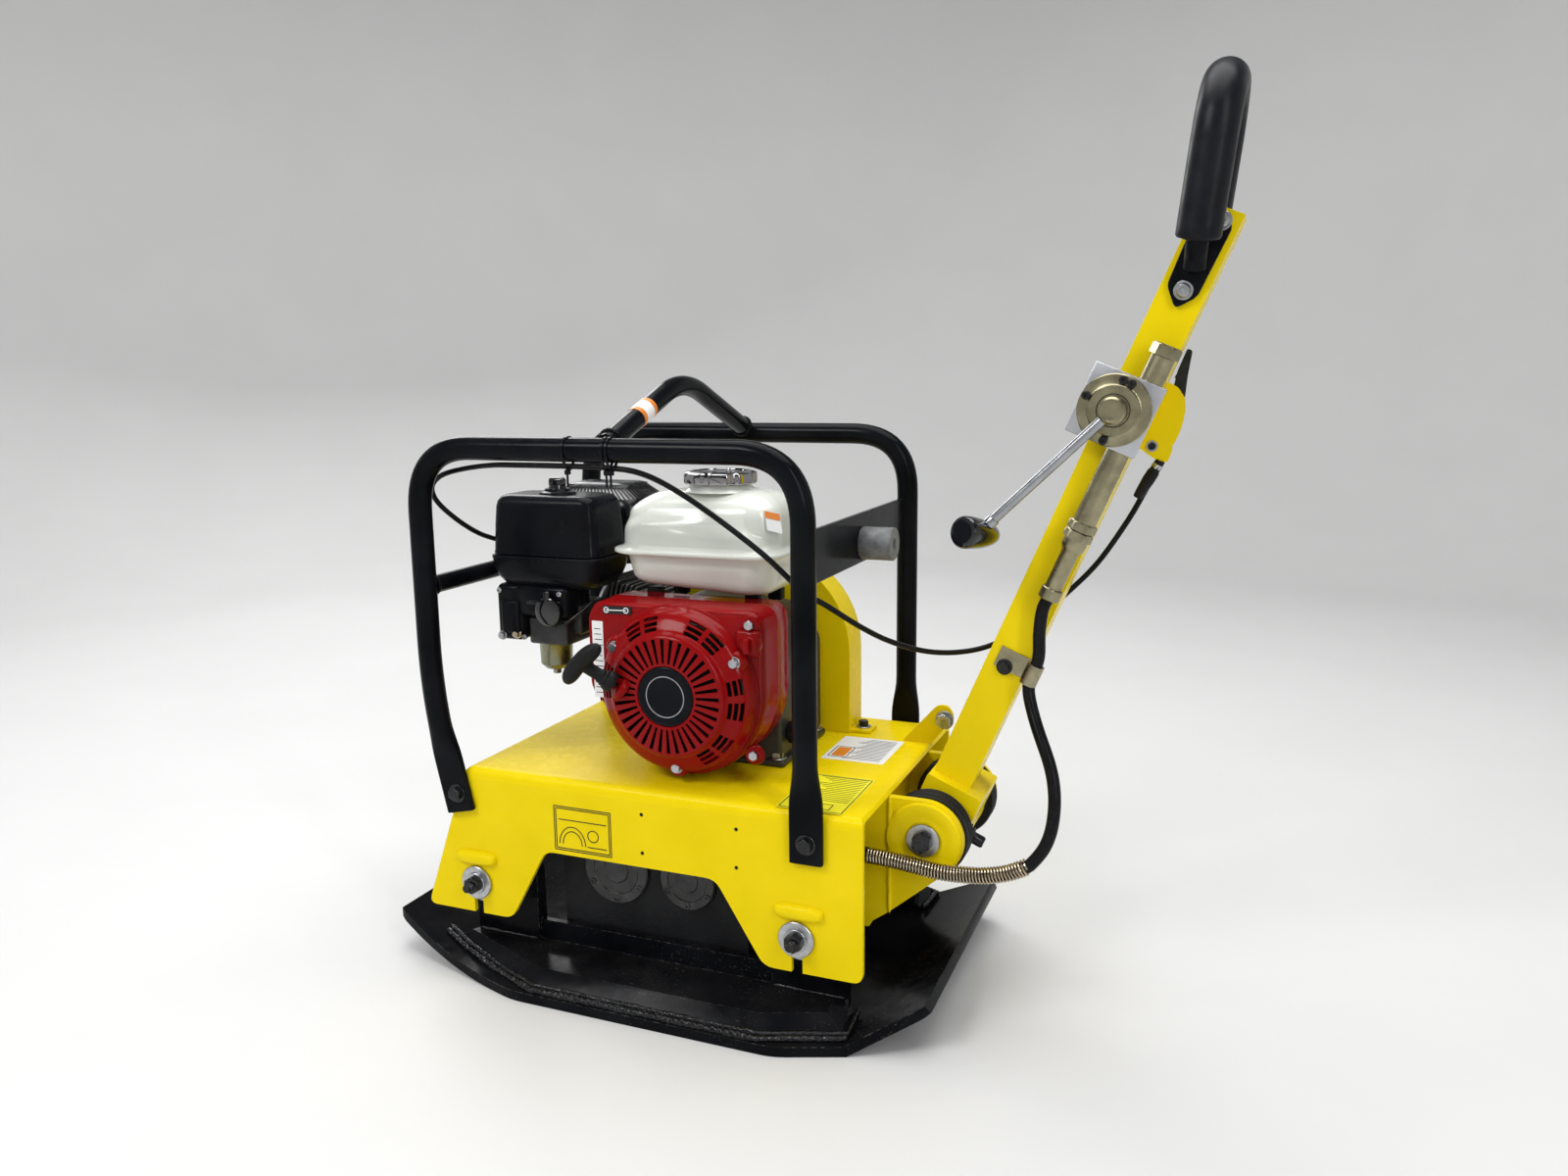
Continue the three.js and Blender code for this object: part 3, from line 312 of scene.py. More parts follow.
# ---- shapes, in millimetres
# A shape is (points, faces).
def join(*shapes):
    points, faces = [], []
    for p, f in shapes:
        base = len(points)
        points += p
        faces += [[i + base for i in face] for face in f]
    return points, faces


def axes(direction):
    w = Vector(direction).normalized()
    helper = Z if abs(w.z) < 0.9 else X
    u = helper.cross(w).normalized()
    return u, w.cross(u), w


def spaced(first, last, count):
    """Values from first to last in count equal steps."""
    return [first + (last - first) * k / count for k in range(count + 1)]


def full_turn(count):
    return spaced(0, 360, count)[:-1]


def on_circle(centre, radius, degrees, u=X, v=Z):
    """Points on a circle in the plane of u and v."""
    return [centre + u * (radius * cos(a)) + v * (radius * sin(a))
            for a in map(radians, degrees)]


def step(value, low, high):
    """0 below low, 1 above high, eased between."""
    t = min(1, max(0, (value - low) / (high - low)))
    return t * t * (3 - 2 * t)


def spin(profile, origin, direction, sides=48, loop=False, lobes=None):
    """Turned shape: profile of (radius, distance along direction)."""
    u, v, w = axes(direction)
    points, rows = [], []
    for r, h in profile:
        if r < 1e-6:
            points.append(origin + w * h)
            rows.append([len(points) - 1])
            continue
        rows.append(list(range(len(points), len(points) + sides)))
        for i in range(sides):
            a = 2 * pi * i / sides
            k = r * (lobes(a) if lobes else 1)
            points.append(origin + w * h + u * (k * cos(a)) + v * (k * sin(a)))
    faces = []
    pairs = list(zip(rows, rows[1:])) + ([(rows[-1], rows[0])] if loop else [])
    for a, b in pairs:
        for i in range(sides):
            j = (i + 1) % sides
            if len(a) == 1 and len(b) > 1:
                faces.append([a[0], b[j], b[i]])
            elif len(b) == 1 and len(a) > 1:
                faces.append([a[i], a[j], b[0]])
            elif len(a) > 1:
                faces.append([a[i], a[j], b[j], b[i]])
    if not loop:
        faces += [row for row in (rows[0][::-1], rows[-1]) if len(row) > 1]
    return points, faces


def rod(radius, low, high):
    """Profile of a plain cylinder."""
    return [(0, low), (radius, low), (radius, high), (0, high)]


def loft(rings, cap=True):
    """Skin through rings of equal point count."""
    n = len(rings[0])
    points = [p for ring in rings for p in ring]
    faces = [[r * n + i, r * n + (i + 1) % n, (r + 1) * n + (i + 1) % n, (r + 1) * n + i]
             for r in range(len(rings) - 1) for i in range(n)]
    if cap:
        faces += [list(range(n))[::-1], [(len(rings) - 1) * n + i for i in range(n)]]
    return points, faces


def stack(ring, rows, cap=True):
    """Skin through the rings that the rows of values give."""
    return loft([ring(*row) for row in rows], cap)


def smooth(points, per=8):
    """Catmull-Rom curve through the points."""
    pts = [points[0] * 2 - points[1], *points, points[-1] * 2 - points[-2]]
    out = []
    for a, b, c, d in zip(pts, pts[1:], pts[2:], pts[3:]):
        for k in range(per):
            t = k / per
            out.append(0.5 * (b * 2 + (c - a) * t + (a * 2 - b * 5 + c * 4 - d) * t * t
                              + (b * 3 - a - c * 3 + d) * t ** 3))
    return [*out, points[-1]]


def corner(a, b, c, radius, per):
    """Curve that takes the corner b off the way from a to c."""
    start = b + (a - b).normalized() * radius
    end = b + (c - b).normalized() * radius
    return [start.lerp(b, k / per).lerp(b.lerp(end, k / per), k / per) for k in range(per + 1)]


def bent(points, radius, per=12):
    """Straight runs with rounded corners."""
    out = [points[0]]
    for a, b, c in zip(points, points[1:], points[2:]):
        out += corner(a, b, c, radius, per)
    return [*out, points[-1]]


def rounded(points, radius, per=5):
    """Flat outline with rounded corners."""
    pts = [Vector(p) for p in points]
    turns = zip(pts[-1:] + pts[:-1], pts, pts[1:] + pts[:1])
    return [tuple(p) for a, b, c in turns for p in corner(a, b, c, radius, per)]


def divided(path, count):
    """Path with each run cut into as many steps as count gives for its length."""
    out = []
    for a, b in zip(path, path[1:]):
        n = count((b - a).length)
        out += [a.lerp(b, k / n) for k in range(n)]
    return [*out, path[-1]]


def tangent(path, i):
    return (path[min(i + 1, len(path) - 1)] - path[max(i - 1, 0)]).normalized()


def frames(path):
    """Points with two side directions, carried without twist."""
    out = []
    u = None
    for i, p in enumerate(path):
        t = tangent(path, i)
        u = u or axes(t)[0]
        u = (u - t * u.dot(t)).normalized()
        out.append((p, u, t.cross(u)))
    return out


def tube(path, radius, sides=20):
    """Round bar along a path: radius is a number or a function of the share of the way."""
    turn = full_turn(sides)
    rings = []
    for i, (p, u, v) in enumerate(frames(path)):
        r = radius(i / (len(path) - 1)) if callable(radius) else radius
        rings.append(on_circle(p, r, turn, u, v))
    return loft(rings)


def ribbon(path, half_width, half_thick):
    """Flat band along a path: half_width is a vector across it."""
    rings = []
    for i, p in enumerate(path):
        n = tangent(path, i).cross(half_width).normalized() * half_thick
        rings.append([p + half_width + n, p - half_width + n, p - half_width - n, p + half_width - n])
    return loft(rings)


def slab(outline, origin, u, v, depth):
    """Outline in the plane of u and v, thickened along u x v."""
    w = u.cross(v).normalized()
    ring = [origin + u * a + v * b for a, b in outline]
    return loft([ring, [p + w * depth for p in ring]])


def block(x0, x1, y0, y1, z0, z1, r=1.5, steps=3):
    """Box with rounded edges."""
    bm = bmesh.new()
    bmesh.ops.create_cube(bm, size=1)
    for v in bm.verts:
        v.co = V((x0 + x1) / 2 + v.co.x * (x1 - x0), (y0 + y1) / 2 + v.co.y * (y1 - y0),
                 (z0 + z1) / 2 + v.co.z * (z1 - z0))
    bmesh.ops.bevel(bm, geom=bm.edges[:], offset=r, segments=steps, profile=0.5,
                    affect="EDGES", clamp_overlap=True)
    bm.verts.index_update()
    shape = [v.co.copy() for v in bm.verts], [[v.index for v in f.verts] for f in bm.faces]
    bm.free()
    return shape


def oblong(cx, cy, hx, hy, r, z, n=96):
    """Rounded rectangle as n points at height z, evenly spaced by angle round each corner."""
    out = []
    for q, (sx, sy) in enumerate(((1, 1), (-1, 1), (-1, -1), (1, -1))):
        centre = V(cx + sx * (hx - r), cy + sy * (hy - r), z)
        out += on_circle(centre, r, spaced(90 * q, 90 * q + 90, n // 4 - 1), X, Y)
    return out


def hex_head(at, direction, flats, height, base=0.0, chamfer=1.6):
    """Hexagon with its corners turned off at the top."""
    u, v, w = axes(direction)
    rings = []
    for h in (0, height - chamfer, height - chamfer / 2, height):
        ring = []
        for a in (2 * pi * i / 60 for i in range(60)):
            hexagon = flats / 2 / cos((a + pi / 6) % (pi / 3) - pi / 6)
            radius = min(hexagon, flats / 2 * 0.97 + (height - h) * 1.7)
            ring.append(at + w * (base + h) + (u * cos(a) + v * sin(a)) * radius)
        rings.append(ring)
    return loft(rings)


def washer(at, direction, radius, thick, base=0.0):
    c = min(0.5, thick / 3)
    return spin([(0, base), (radius - c, base), (radius, base + c), (radius, base + thick - c),
                 (radius - c, base + thick), (0, base + thick)], at, direction)


def stud(at, direction, radius, start, end):
    """Threaded end of a bolt."""
    pitch = 1.5
    profile = [(0, start)]
    h = start
    while h < end - pitch:
        profile += [(radius, h + 0.2), (radius - 0.5, h + 0.85)]
        h += pitch
    return spin([*profile, (radius - 0.8, end), (0, end)], at, direction, 28)


def bolt(at, direction, flats, height, rim, thick):
    """Hexagon head on its washer."""
    return join(washer(at, direction, rim, thick), hex_head(at, direction, flats, height, thick))


def socket_screw(at, direction, radius, height):
    return spin([(0, 0), (radius, 0), (radius, height - 0.6), (radius - 0.6, height),
                 (radius * 0.52, height), (radius * 0.5, height - 2.2), (0, height - 2.4)],
                at, direction, 30)


def bead(path, radius=3.2, pitch=4.5):
    """Weld bead with its ripples."""
    pace = 1.5
    dense = divided(path, lambda run: max(2, int(run / pace)))
    length = len(dense) * pace

    def width(t):
        fade = min(1, t * length / 5, (1 - t) * length / 5)
        wander = 0.08 * sin(t * length / 11.3) + 0.06 * sin(t * length / 3.1)
        return radius * (0.35 + 0.65 * fade) * (0.8 + wander + 0.1 * sin(t * length / pitch * 6.28))
    return tube(dense, width, 14)


def ring_bead(at, direction, radius, size=2.6):
    """Weld bead round a tube's end."""
    u, v, _ = axes(direction)
    return tube(on_circle(at, radius, spaced(0, 360, 72), u, v),
                lambda t: size * (0.88 + 0.12 * sin(t * 150)), 10)


def squared(value, power):
    """Value raised to a power with its sign kept."""
    return copysign(abs(value) ** power, value)


def dome(at, normal, u, half_u, half_v, height, steps=7, n=40):
    """Pressed oblong bump."""
    v = normal.cross(u)
    rings = []
    for k in range(steps + 1):
        a = pi / 2 * k / steps
        s, h = cos(a) ** 0.6 if k < steps else 0.04, height * sin(a)
        ring = []
        for t in (2 * pi * i / n for i in range(n)):
            ring.append(at + normal * h + u * (half_u - half_v * (1 - s)) * squared(cos(t), 0.6)
                        + v * half_v * s * squared(sin(t), 0.6))
        rings.append(ring)
    return loft(rings)


def piece(name, shape, look, body="machine", **finish):
    """A shape as a named mesh with its look."""
    mesh = bpy.data.meshes.new(name)
    mesh.from_pydata([p * MM for p in shape[0]], [], shape[1])
    bm = bmesh.new()
    bm.from_mesh(mesh)
    bmesh.ops.remove_doubles(bm, verts=bm.verts, dist=2e-6)
    bmesh.ops.recalc_face_normals(bm, faces=bm.faces)
    bm.to_mesh(mesh)
    bm.free()
    return finish_piece(name, mesh, look, body, **finish)


def finish_piece(name, mesh, look, body, bevel=0.0, steps=2, angle=38, thick=0.0, stands_for=None,
                 slot=None):
    """Smooths, thickens and bevels a mesh, ties it to its body and hides the CAD node it stands for."""
    mesh.polygons.foreach_set("use_smooth", [True] * len(mesh.polygons))
    mesh.set_sharp_from_angle(angle=radians(angle))
    mesh.materials.append(look.mat)
    obj = bpy.data.objects.new(name, mesh)
    bpy.context.scene.collection.objects.link(obj)
    if thick:
        m = obj.modifiers.new("thickness", "SOLIDIFY")
        m.thickness = thick * MM
        m.offset = -1
    if bevel:
        m = obj.modifiers.new("edges", "BEVEL")
        m.width = bevel * MM
        m.segments = steps
        m.limit_method = "ANGLE"
        m.angle_limit = radians(32)
        m.harden_normals = True
    if body:
        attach(obj, body)
    if stands_for:
        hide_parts(stands_for)
    return obj


def refine(node, look, bevel=1.0, steps=3):
    """The CAD solid with merged faces and rounded edges."""
    source = frame["nodes"][node]
    bm = bmesh.new()
    bm.from_mesh(source.data)
    bmesh.ops.remove_doubles(bm, verts=bm.verts, dist=2e-5)
    bmesh.ops.dissolve_limit(bm, angle_limit=radians(0.8), verts=bm.verts, edges=bm.edges)
    name = node + "_skin"
    mesh = bpy.data.meshes.new(name)
    bm.to_mesh(mesh)
    bm.free()
    finish_piece(name, mesh, look, source["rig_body"], bevel=bevel, steps=steps, stands_for=node)


def keep(look, *nodes):
    """CAD solids that show as they are."""
    for node in nodes:
        data = frame["nodes"][node].data
        data.materials.clear()
        data.materials.append(look.mat)


# ---- base, exciter, mounts
SIDES = ((-1, "left"), (1, "right"))
PLATE_THICK = 12
NOSE_START, NOSE_RADIUS = -165, 399
TAIL_START, TAIL_RISE = 264.8, radians(30)


def plate_top(x):
    """Height of the base plate's upper face: curved up in front, bent up behind."""
    if x < NOSE_START:
        return PLATE_THICK + NOSE_RADIUS - sqrt(NOSE_RADIUS ** 2 - (x - NOSE_START) ** 2)
    return PLATE_THICK + max(0, x - TAIL_START) * tan(TAIL_RISE)


refine("base_plate", BASE_BLACK, 2.6, 4)
foot_line = [(-284, -165), (-240, -181.5), (-180, -204), (-118, -228.6), (30, -229), (172, -229),
             (262, -195), (258, -141)]
shelf_seams = ((-243, -157, 151, 3.4), (161, 247, 151, 3.4), (-150, 154, 138.5, 3.2))
for side, hand in SIDES:
    refine("side_frame_" + hand, BASE_BLACK, 1.6)
    run = [V(x, -y * side, plate_top(x) + 2.2) for x, y in foot_line]
    crown = [V(x + 2, -(y + 4.6) * side, plate_top(x) + 6.4) for x, y in foot_line]
    piece("foot_weld_" + hand, join(bead(run, 5.4, 7.5), bead(crown, 3.8, 5.3)), WELD)
    seams = [bead([V(x0, y * side, 36), V(x1, y * side, 36)], size) for x0, x1, y, size in shelf_seams]
    piece("shelf_welds_" + hand, join(*seams), WELD)

refine("exciter_housing", CAST_BLACK, 4, 4)
for name, x, r in (("front", -49, 43), ("rear", 47, 36)):
    at = V(x, -134.4, 138)
    cover = spin([(0, 0), (r, 0), (r, 3.4), (r - 1.6, 5), (r * 0.72, 5), (r * 0.68, 3.2),
                  (r * 0.4, 3.2), (r * 0.36, 4.6), (0, 4.8)], at, -Y, 64)
    caps = [socket_screw(p, -Y, 3.6, 3.6) for p in on_circle(at - Y * 3, r * 0.85, range(30, 390, 60))]
    piece("exciter_cap_" + name, join(cover, *caps), DARK_ALLOY, stands_for="exciter_cover_" + name)

MOUNT_Z = 116
rubber = [(0, 2.4), *((26 + 1.9 * sin(pi * t), 2.4 + 23.6 * t) for t in spaced(0, 1, 8)), (0, 26)]
for side, hand in SIDES:
    out = Y * side
    for where, x in (("front", -217), ("rear", 204)):
        tag = f"{where}_{hand}"
        at = V(x, 150.3 * side, MOUNT_Z)
        face = V(x, 185.3 * side, MOUNT_Z)
        piece("mount_plates_" + tag, join(washer(at, out, 28, 2.4), washer(at, out, 28, 2.4, 26)), ZINC)
        piece("mount_block_" + tag, spin(rubber, at, out), RUBBER, stands_for="rubber_mount_" + tag)
        rim = spin([(7, 0), (20.5, 0), (21, 0.5), (21, 3.2), (20.2, 4), (12.5, 4), (7, 4)], face, out, 56)
        piece("mount_washers_" + tag, join(rim, washer(face, out, 13.4, 2.6, 4)), ZINC,
              stands_for="mount_bolt_" + tag)
        nut = hex_head(face, out, 19, 8.6, 6.6)
        piece("mount_nut_" + tag, join(nut, stud(face, out, 5.6, 14, 23.8)), OXIDE)

# ---- deck
CRANK_X, CRANK_Z = 42, 371
PRINT_Z = 263.5


def at_crank(y):
    """Point of the crankshaft's axis."""
    return V(CRANK_X, y, CRANK_Z)


def film(name, corners, look, lift=0.35, radius=2.5):
    """Thin label on a flat face: origin corner, two edge vectors."""
    origin, a, b = corners
    outline = rounded([(0, 0), (a.length, 0), (a.length, b.length), (0, b.length)], radius)
    piece(name, slab(outline, origin, a.normalized(), b.normalized(), lift), look, bevel=0.1, steps=1)


def strokes(name, lines, normal, look, width, lift):
    """Flat printed lines: each is a list of points on the face."""
    shapes = []
    for line in lines:
        rings = []
        for i, p in enumerate(line):
            s = normal.cross(tangent(line, i)) * width / 2
            rings.append([p + s, p - s, p - s + normal * lift, p + s + normal * lift])
        shapes.append(loft(rings))
    piece(name, join(*shapes), look)


def frame_lines(origin, u, v, a, b):
    corners = [origin, origin + u * a, origin + u * a + v * b, origin + v * b]
    return [[p, q] for p, q in zip(corners, corners[1:] + corners[:1])]


def text_rows(x0, x1, ragged, y0, pitch, count):
    """Rows of uneven length in place of words."""
    return [[V(x0, y0 - pitch * i, PRINT_Z), V(x1 + ragged * (i * 5 % 4), y0 - pitch * i, PRINT_Z)]
            for i in range(count)]


refine("deck_cover", YELLOW, 1.8)
piece("deck_bumps", join(*[dome(V(x, 184.6 * side, 148), Y * side, X, 29, 9, 8)
                           for side in (-1, 1) for x in (-216, 207)]), YELLOW, slot="yellow_paint")
# Dark cups sunk in the rivet holes: painted shade inside the holes.
rivet_hole_shades = [spin([(0, 0), (2.2, 0), (2, 0.4), (1.4, 0.5), (1.2, -0.8), (0, -0.9)], V(x, -185, z), -Y, 20)
          for x, z in ((15, 234), (14.6, 187.5), (133.3, 233), (132.7, 188))]
piece("deck_rivet_holes_painted_shade", join(*rivet_hole_shades), INK)

plate_at = V(-102, -185.05, 176)
lines = frame_lines(plate_at, X, Z, 76, 54)
lines += frame_lines(plate_at + V(2.4, 0, 2.4), X, Z, 71.2, 49.2)
lines += [on_circle(plate_at + V(24, 0, 8), r, spaced(0, 180, 24), X, Z * 1.25) for r in (13, 17.5)]
lines += [[plate_at + V(x, 0, z), plate_at + V(70, 0, z)] for x, z in ((44, 8), (6, 38))]
lines.append(on_circle(plate_at + V(52, 0, 22), 7, spaced(0, 360, 32)))
strokes("apron_pictogram", lines, -Y, INK, 1.1, 0.3)
film("deck_label_white", (V(246, 88, 263.05), V(-79, -1.5, 0), V(0, -94, 0)), LABEL)
strokes("deck_label_white_print", text_rows(239, 204, -4, 80, 5.2, 16)
        + frame_lines(V(195, 4, PRINT_Z), -X, Y, 23, 40), Z, INK, 1.2, 0.1)
film("deck_label_icon", (V(192, 41, 263.4), V(-17, 0, 0), V(0, -34, 0)), LABEL_ORANGE, 0.2)
film("deck_label_yellow", (V(255, -62, 263.05), V(-77, 0, 0), V(-1, -116, 0)), LABEL_YELLOW)
strokes("deck_label_yellow_print", text_rows(249, 192, 6, -68, 5.4, 15)
        + frame_lines(V(252.4, -175.4, PRINT_Z), -X, Y, 72, 110)
        + frame_lines(V(236, -170, PRINT_Z), -X, Y, 40, 16), Z, INK, 1.2, 0.1)

refine("belt_cover", YELLOW, 4.5, 5)
cover_top = V(180, 121, 267.4)
piece("belt_cover_washer", washer(cover_top, Z, 10, 1.6), ZINC)
piece("belt_cover_bolt", hex_head(cover_top, Z, 11.5, 7, 1.6), OXIDE)
piece("belt_cover_screws", join(*[bolt(p, Y, 10, 5, 8, 1.2)
                                  for p in on_circle(at_crank(148.1), 108, (35, 90, 145, 190, -10))]), ZINC)

# ---- cage
HOOP_Y, HOOP_FRONT, HOOP_REAR, HOOP_TOP, HOOP_RADIUS = 191, -262, 217.6, 647, 13.5
FOOT_Y, FOOT_BOTTOM, FOOT_HALF_WIDTH, FOOT_HALF_THICK = 189.3, 207, 19, 4
ARCH_X, ARCH_Y, ARCH_LOW, ARCH_HIGH = -12, 184.3, 653, 723
CROSSBAR_Z = 483


def hoop(side, sides=36):
    """Bent tube that goes over into flat feet, a little further in."""
    path = bent([V(-231, 0, FOOT_BOTTOM), V(HOOP_FRONT, 0, 345), V(HOOP_FRONT, 0, HOOP_TOP),
                 V(HOOP_REAR, 0, HOOP_TOP), V(HOOP_REAR, 0, FOOT_BOTTOM)], 75, 16)
    path = divided(path, lambda run: max(1, round(run / 9)))
    rings = []
    for i, p in enumerate(path):
        t = tangent(path, i)
        s = step(p.z, 268, 320)
        across = V(t.z, 0, -t.x) * (FOOT_HALF_WIDTH + (HOOP_RADIUS - FOOT_HALF_WIDTH) * s)
        through = Y * (FOOT_HALF_THICK + (HOOP_RADIUS - FOOT_HALF_THICK) * s)
        middle = V(p.x, (FOOT_Y + (HOOP_Y - FOOT_Y) * s) * side, p.z)
        power = 0.3 + 0.7 * s
        rings.append([middle + across * squared(cos(a), power) + through * squared(sin(a), power)
                      for a in (2 * pi * k / sides for k in range(sides))])
    return loft(rings)


for side, hand in SIDES:
    piece("hoop_tube_" + hand, hoop(side), BLACK, bevel=1, angle=50, stands_for="cage_hoop_" + hand)
    out = Y * side
    feet = []
    for at in (V(-233, 193.2 * side, 231), V(218.5, 193.2 * side, 230.4)):
        feet += [washer(at, out, 11.5, 1.8), hex_head(at, out, 15, 6, 1.8, 1.4),
                 spin([(0, 7), (3.6, 7), (3.4, 8.4), (0, 8.6)], at, out, 30)]
    piece("hoop_screws_" + hand, join(*feet), OXIDE)

arch = bent([V(ARCH_X, -ARCH_Y, ARCH_LOW), V(ARCH_X, 0, ARCH_HIGH), V(ARCH_X, ARCH_Y, ARCH_LOW)], 55, 16)
piece("arch_tube", tube(arch, 12, 36), BLACK, stands_for="lifting_arch")
for name, low, high, radius, look in (("band_low", 0.5, 0.55, 12.5, LABEL_ORANGE),
                                      ("film", 0.55, 0.68, 12.4, LABEL),
                                      ("band_high", 0.68, 0.73, 12.5, LABEL_ORANGE)):
    label_run = [arch[0].lerp(V(ARCH_X, -54, 702.5), k) for k in (low, high)]
    piece("arch_label_" + name, tube(label_run, radius, 36), look)
welds = []
for side in (-1, 1):
    rise = V(0, -184 * side, 70).normalized()
    welds += [ring_bead(V(ARCH_X, ARCH_Y * side, ARCH_LOW) + rise * 10, rise, 12.2, 2.8),
              ring_bead(V(HOOP_FRONT, 178.2 * side, CROSSBAR_Z), Y, 11, 2.6)]
    welds += [bead([V(x, 177 * side, 508), V(x, 177 * side, 564)], 2.6) for x in (212, 218)]
piece("cage_welds", join(*welds), BLACK)
piece("crossbar_tube", tube([V(HOOP_FRONT, y, CROSSBAR_Z) for y in spaced(-177.2, 177.2, 12)], 11, 36),
      BLACK, stands_for="front_crossbar")
refine("rear_cross_plate", BLACK, 1.2)
buffer = [(0, 0), (18.6, 0), (19.5, 1.2), (19.3, 20), (19.5, 38.4), (18, 39.6), (8, 39.7), (6.6, 38.6),
          (6, 36), (6, 16), (0, 16)]
piece("buffer_block", spin(buffer, V(218.3, 0, 530), X, 56), GREY_RUBBER, stands_for="handle_buffer")
piece("buffer_screw", socket_screw(V(232, 0, 530), X, 5, 6), ZINC)

# ---- engine: shroud and starter
ROUND = 120


def shroud_ring(inset, y):
    """Fan housing outline, sampled by angle round the crankshaft."""
    radius, left, right, roof = 104 - inset, -78 + inset, 146 - inset, 467 - inset
    outline = rounded([(right, 350), (right, roof), (left, roof), (left, 352)], 22, 10)
    outline = [p for p in outline if p[1] > 358]
    outline += [(CRANK_X + radius * cos(a), CRANK_Z + radius * sin(a))
                for a in map(radians, spaced(198, 357, 40))]
    ring = []
    for i in range(ROUND):
        a = 2 * pi * i / ROUND
        dx, dz = cos(a), sin(a)
        best = 0
        for (x0, z0), (x1, z1) in zip(outline, outline[1:] + outline[:1]):
            ex, ez = x1 - x0, z1 - z0
            cross = dx * ez - dz * ex
            if abs(cross) < 1e-9:
                continue
            t = ((x0 - CRANK_X) * ez - (z0 - CRANK_Z) * ex) / cross
            s = ((x0 - CRANK_X) * dz - (z0 - CRANK_Z) * dx) / cross
            if t > 0 and -1e-6 <= s <= 1.000001:
                best = max(best, t)
        ring.append(V(CRANK_X + dx * best, y, CRANK_Z + dz * best))
    return ring


def circle_ring(radius, y):
    return on_circle(at_crank(y), radius, full_turn(ROUND))


opening = ((82, -133.8), (82, -136.4), (97.5, -137), (99, -136.6), (100, -134.8))
outside = ((13, -134.6), (6, -133.8), (2.2, -130.6), (0.5, -126.5), (0, -121), (0, -92), (-0.6, -90.5),
           (-0.6, -88), (0, -86.5), (0, -57), (3, -57))
shroud = loft([shroud_ring(3, -57), shroud_ring(3, -133.8), *(circle_ring(*row) for row in opening),
               *(shroud_ring(*row) for row in outside)], cap=False)
piece("shroud_shell", shroud, RED, angle=60, stands_for="fan_housing")
shroud_corners = ((132, 453), (135, 303))
piece("shroud_screws", join(*[bolt(V(x, -134.5, z), -Y, 10, 5, 8.2, 1.4) for x, z in shroud_corners]), ZINC)
piece("shroud_bosses", join(*[spin([(0, 0), (12, 0), (11, 3), (9.5, 4), (0, 4)], V(x, -132.5, z), -Y, 36)
                              for x, z in shroud_corners]), RED)
film("shroud_plate", (V(-55, -134.8, 453.6), V(38, 0, 1), V(-0.3, 0, 9)), INK, 0.9, 1)
lines = [[V(-51, -135.75, 458.2), V(-24, -135.75, 459)]]
lines += [on_circle(V(x, -135.75, z), 3, spaced(0, 360, 16)) for x, z in ((-50, 458.3), (-24, 459))]
strokes("shroud_plate_print", lines, -Y, LABEL, 1.2, 0.2)
film("shroud_label", (V(-70, -134.3, 352), V(14.5, 0, 0), V(-0.5, 0, 92)), LABEL, 0.9, 1)
lines = [[V(-67.5, -135.25, 358 + 6.4 * i), V(-59.4 + (i * 3 % 4), -135.25, 358 + 6.4 * i)]
         for i in range(13)]
strokes("shroud_label_print", lines, -Y, INK, 0.9, 0.15)

ARCS = [(42, 56), (59, 73), (99, 112), (115, 129), (3, 16), (344, 357), (296, 310), (313, 327),
        (160, 172), (175, 187)]


def starter_shell():
    """Turned dish with radial slots, arc slots and a rolled rim."""
    levels = [(34.5, 168.6), (35.6, 170.2), (38.4, 170.6), (66.5, 170), (69, 169), (71.4, 166.6),
              (73, 163.6), (74.6, 161.8), (78.4, 160), (80.4, 158.8), (84.4, 156.6), (86.4, 155.2),
              (90.4, 152.2), (92.6, 149.6), (94, 146.4), (95.2, 142.4), (96.6, 139), (97.4, 137.4)]
    n = 180
    turn = full_turn(n)
    points, faces = loft([on_circle(at_crank(-y), r, turn) for r, y in levels], cap=False)
    kept = []
    for k, face in enumerate(faces):
        level, i = divmod(k, n)
        radial = level == 2 and i % 5 < 2
        arc = level in (7, 9, 11) and any(a <= turn[i] < b for a, b in ARCS)
        if not (radial or arc):
            kept.append(face)
    return points, kept


piece("starter_shell", starter_shell(), RED, thick=1.6, bevel=0.35, angle=30, stands_for="recoil_cover")
piece("starter_badge", spin([(0, 0), (34.4, 0), (34.4, 1.5), (33.4, 2.4), (31, 2.6), (30.4, 2.1),
                             (0, 2.2)], at_crank(-168.2), -Y, 72), PLASTIC)
piece("starter_badge_ring", spin([(23, 0), (24, 0), (24, 0.3), (23, 0.3)], at_crank(-170.35), -Y, 72,
                                 loop=True), ZINC)
piece("starter_drum", spin([(0, 0), (64, 0), (66, 3), (62, 8), (30, 10), (0, 10)], at_crank(-138), -Y, 64),
      SHADE)
piece("fan_screen", spin([(66, 0), (81, 0), (81, 2), (66, 2)], at_crank(-138), -Y, 64, loop=True), SHADE)
lug_places = on_circle(at_crank(-144), 88, (28, 147, -88))
piece("starter_lugs", join(*[spin([(0, 0), (13, 0), (11.4, 5.6), (9.8, 7.4), (0, 7.6)], p, -Y, 40)
                             for p in lug_places]), RED)
piece("starter_screws", join(*[bolt(p - Y * 7.4, -Y, 10, 4.6, 7.2, 1.3) for p in lug_places]), ZINC)

pull = V(-0.62, -0.51, 0.6).normalized()
rope_exit = V(-22, -172, 381)
boot = [(0, -2), (11.5, -2), (12.5, 2), (11, 7), (9.6, 8), (9.8, 10.5), (8.4, 12), (8.6, 15), (7.2, 17),
        (7.3, 34), (9, 40), (0, 44)]
bar = V(0.77, 0, 0.64)
bar = (bar - pull * bar.dot(pull)).normalized()


def grip_width(t):
    s = abs(t * 2 - 1)
    return 11 * sqrt(max(0.02, 1 - s ** 3.2)) * (0.9 + 0.1 * s)


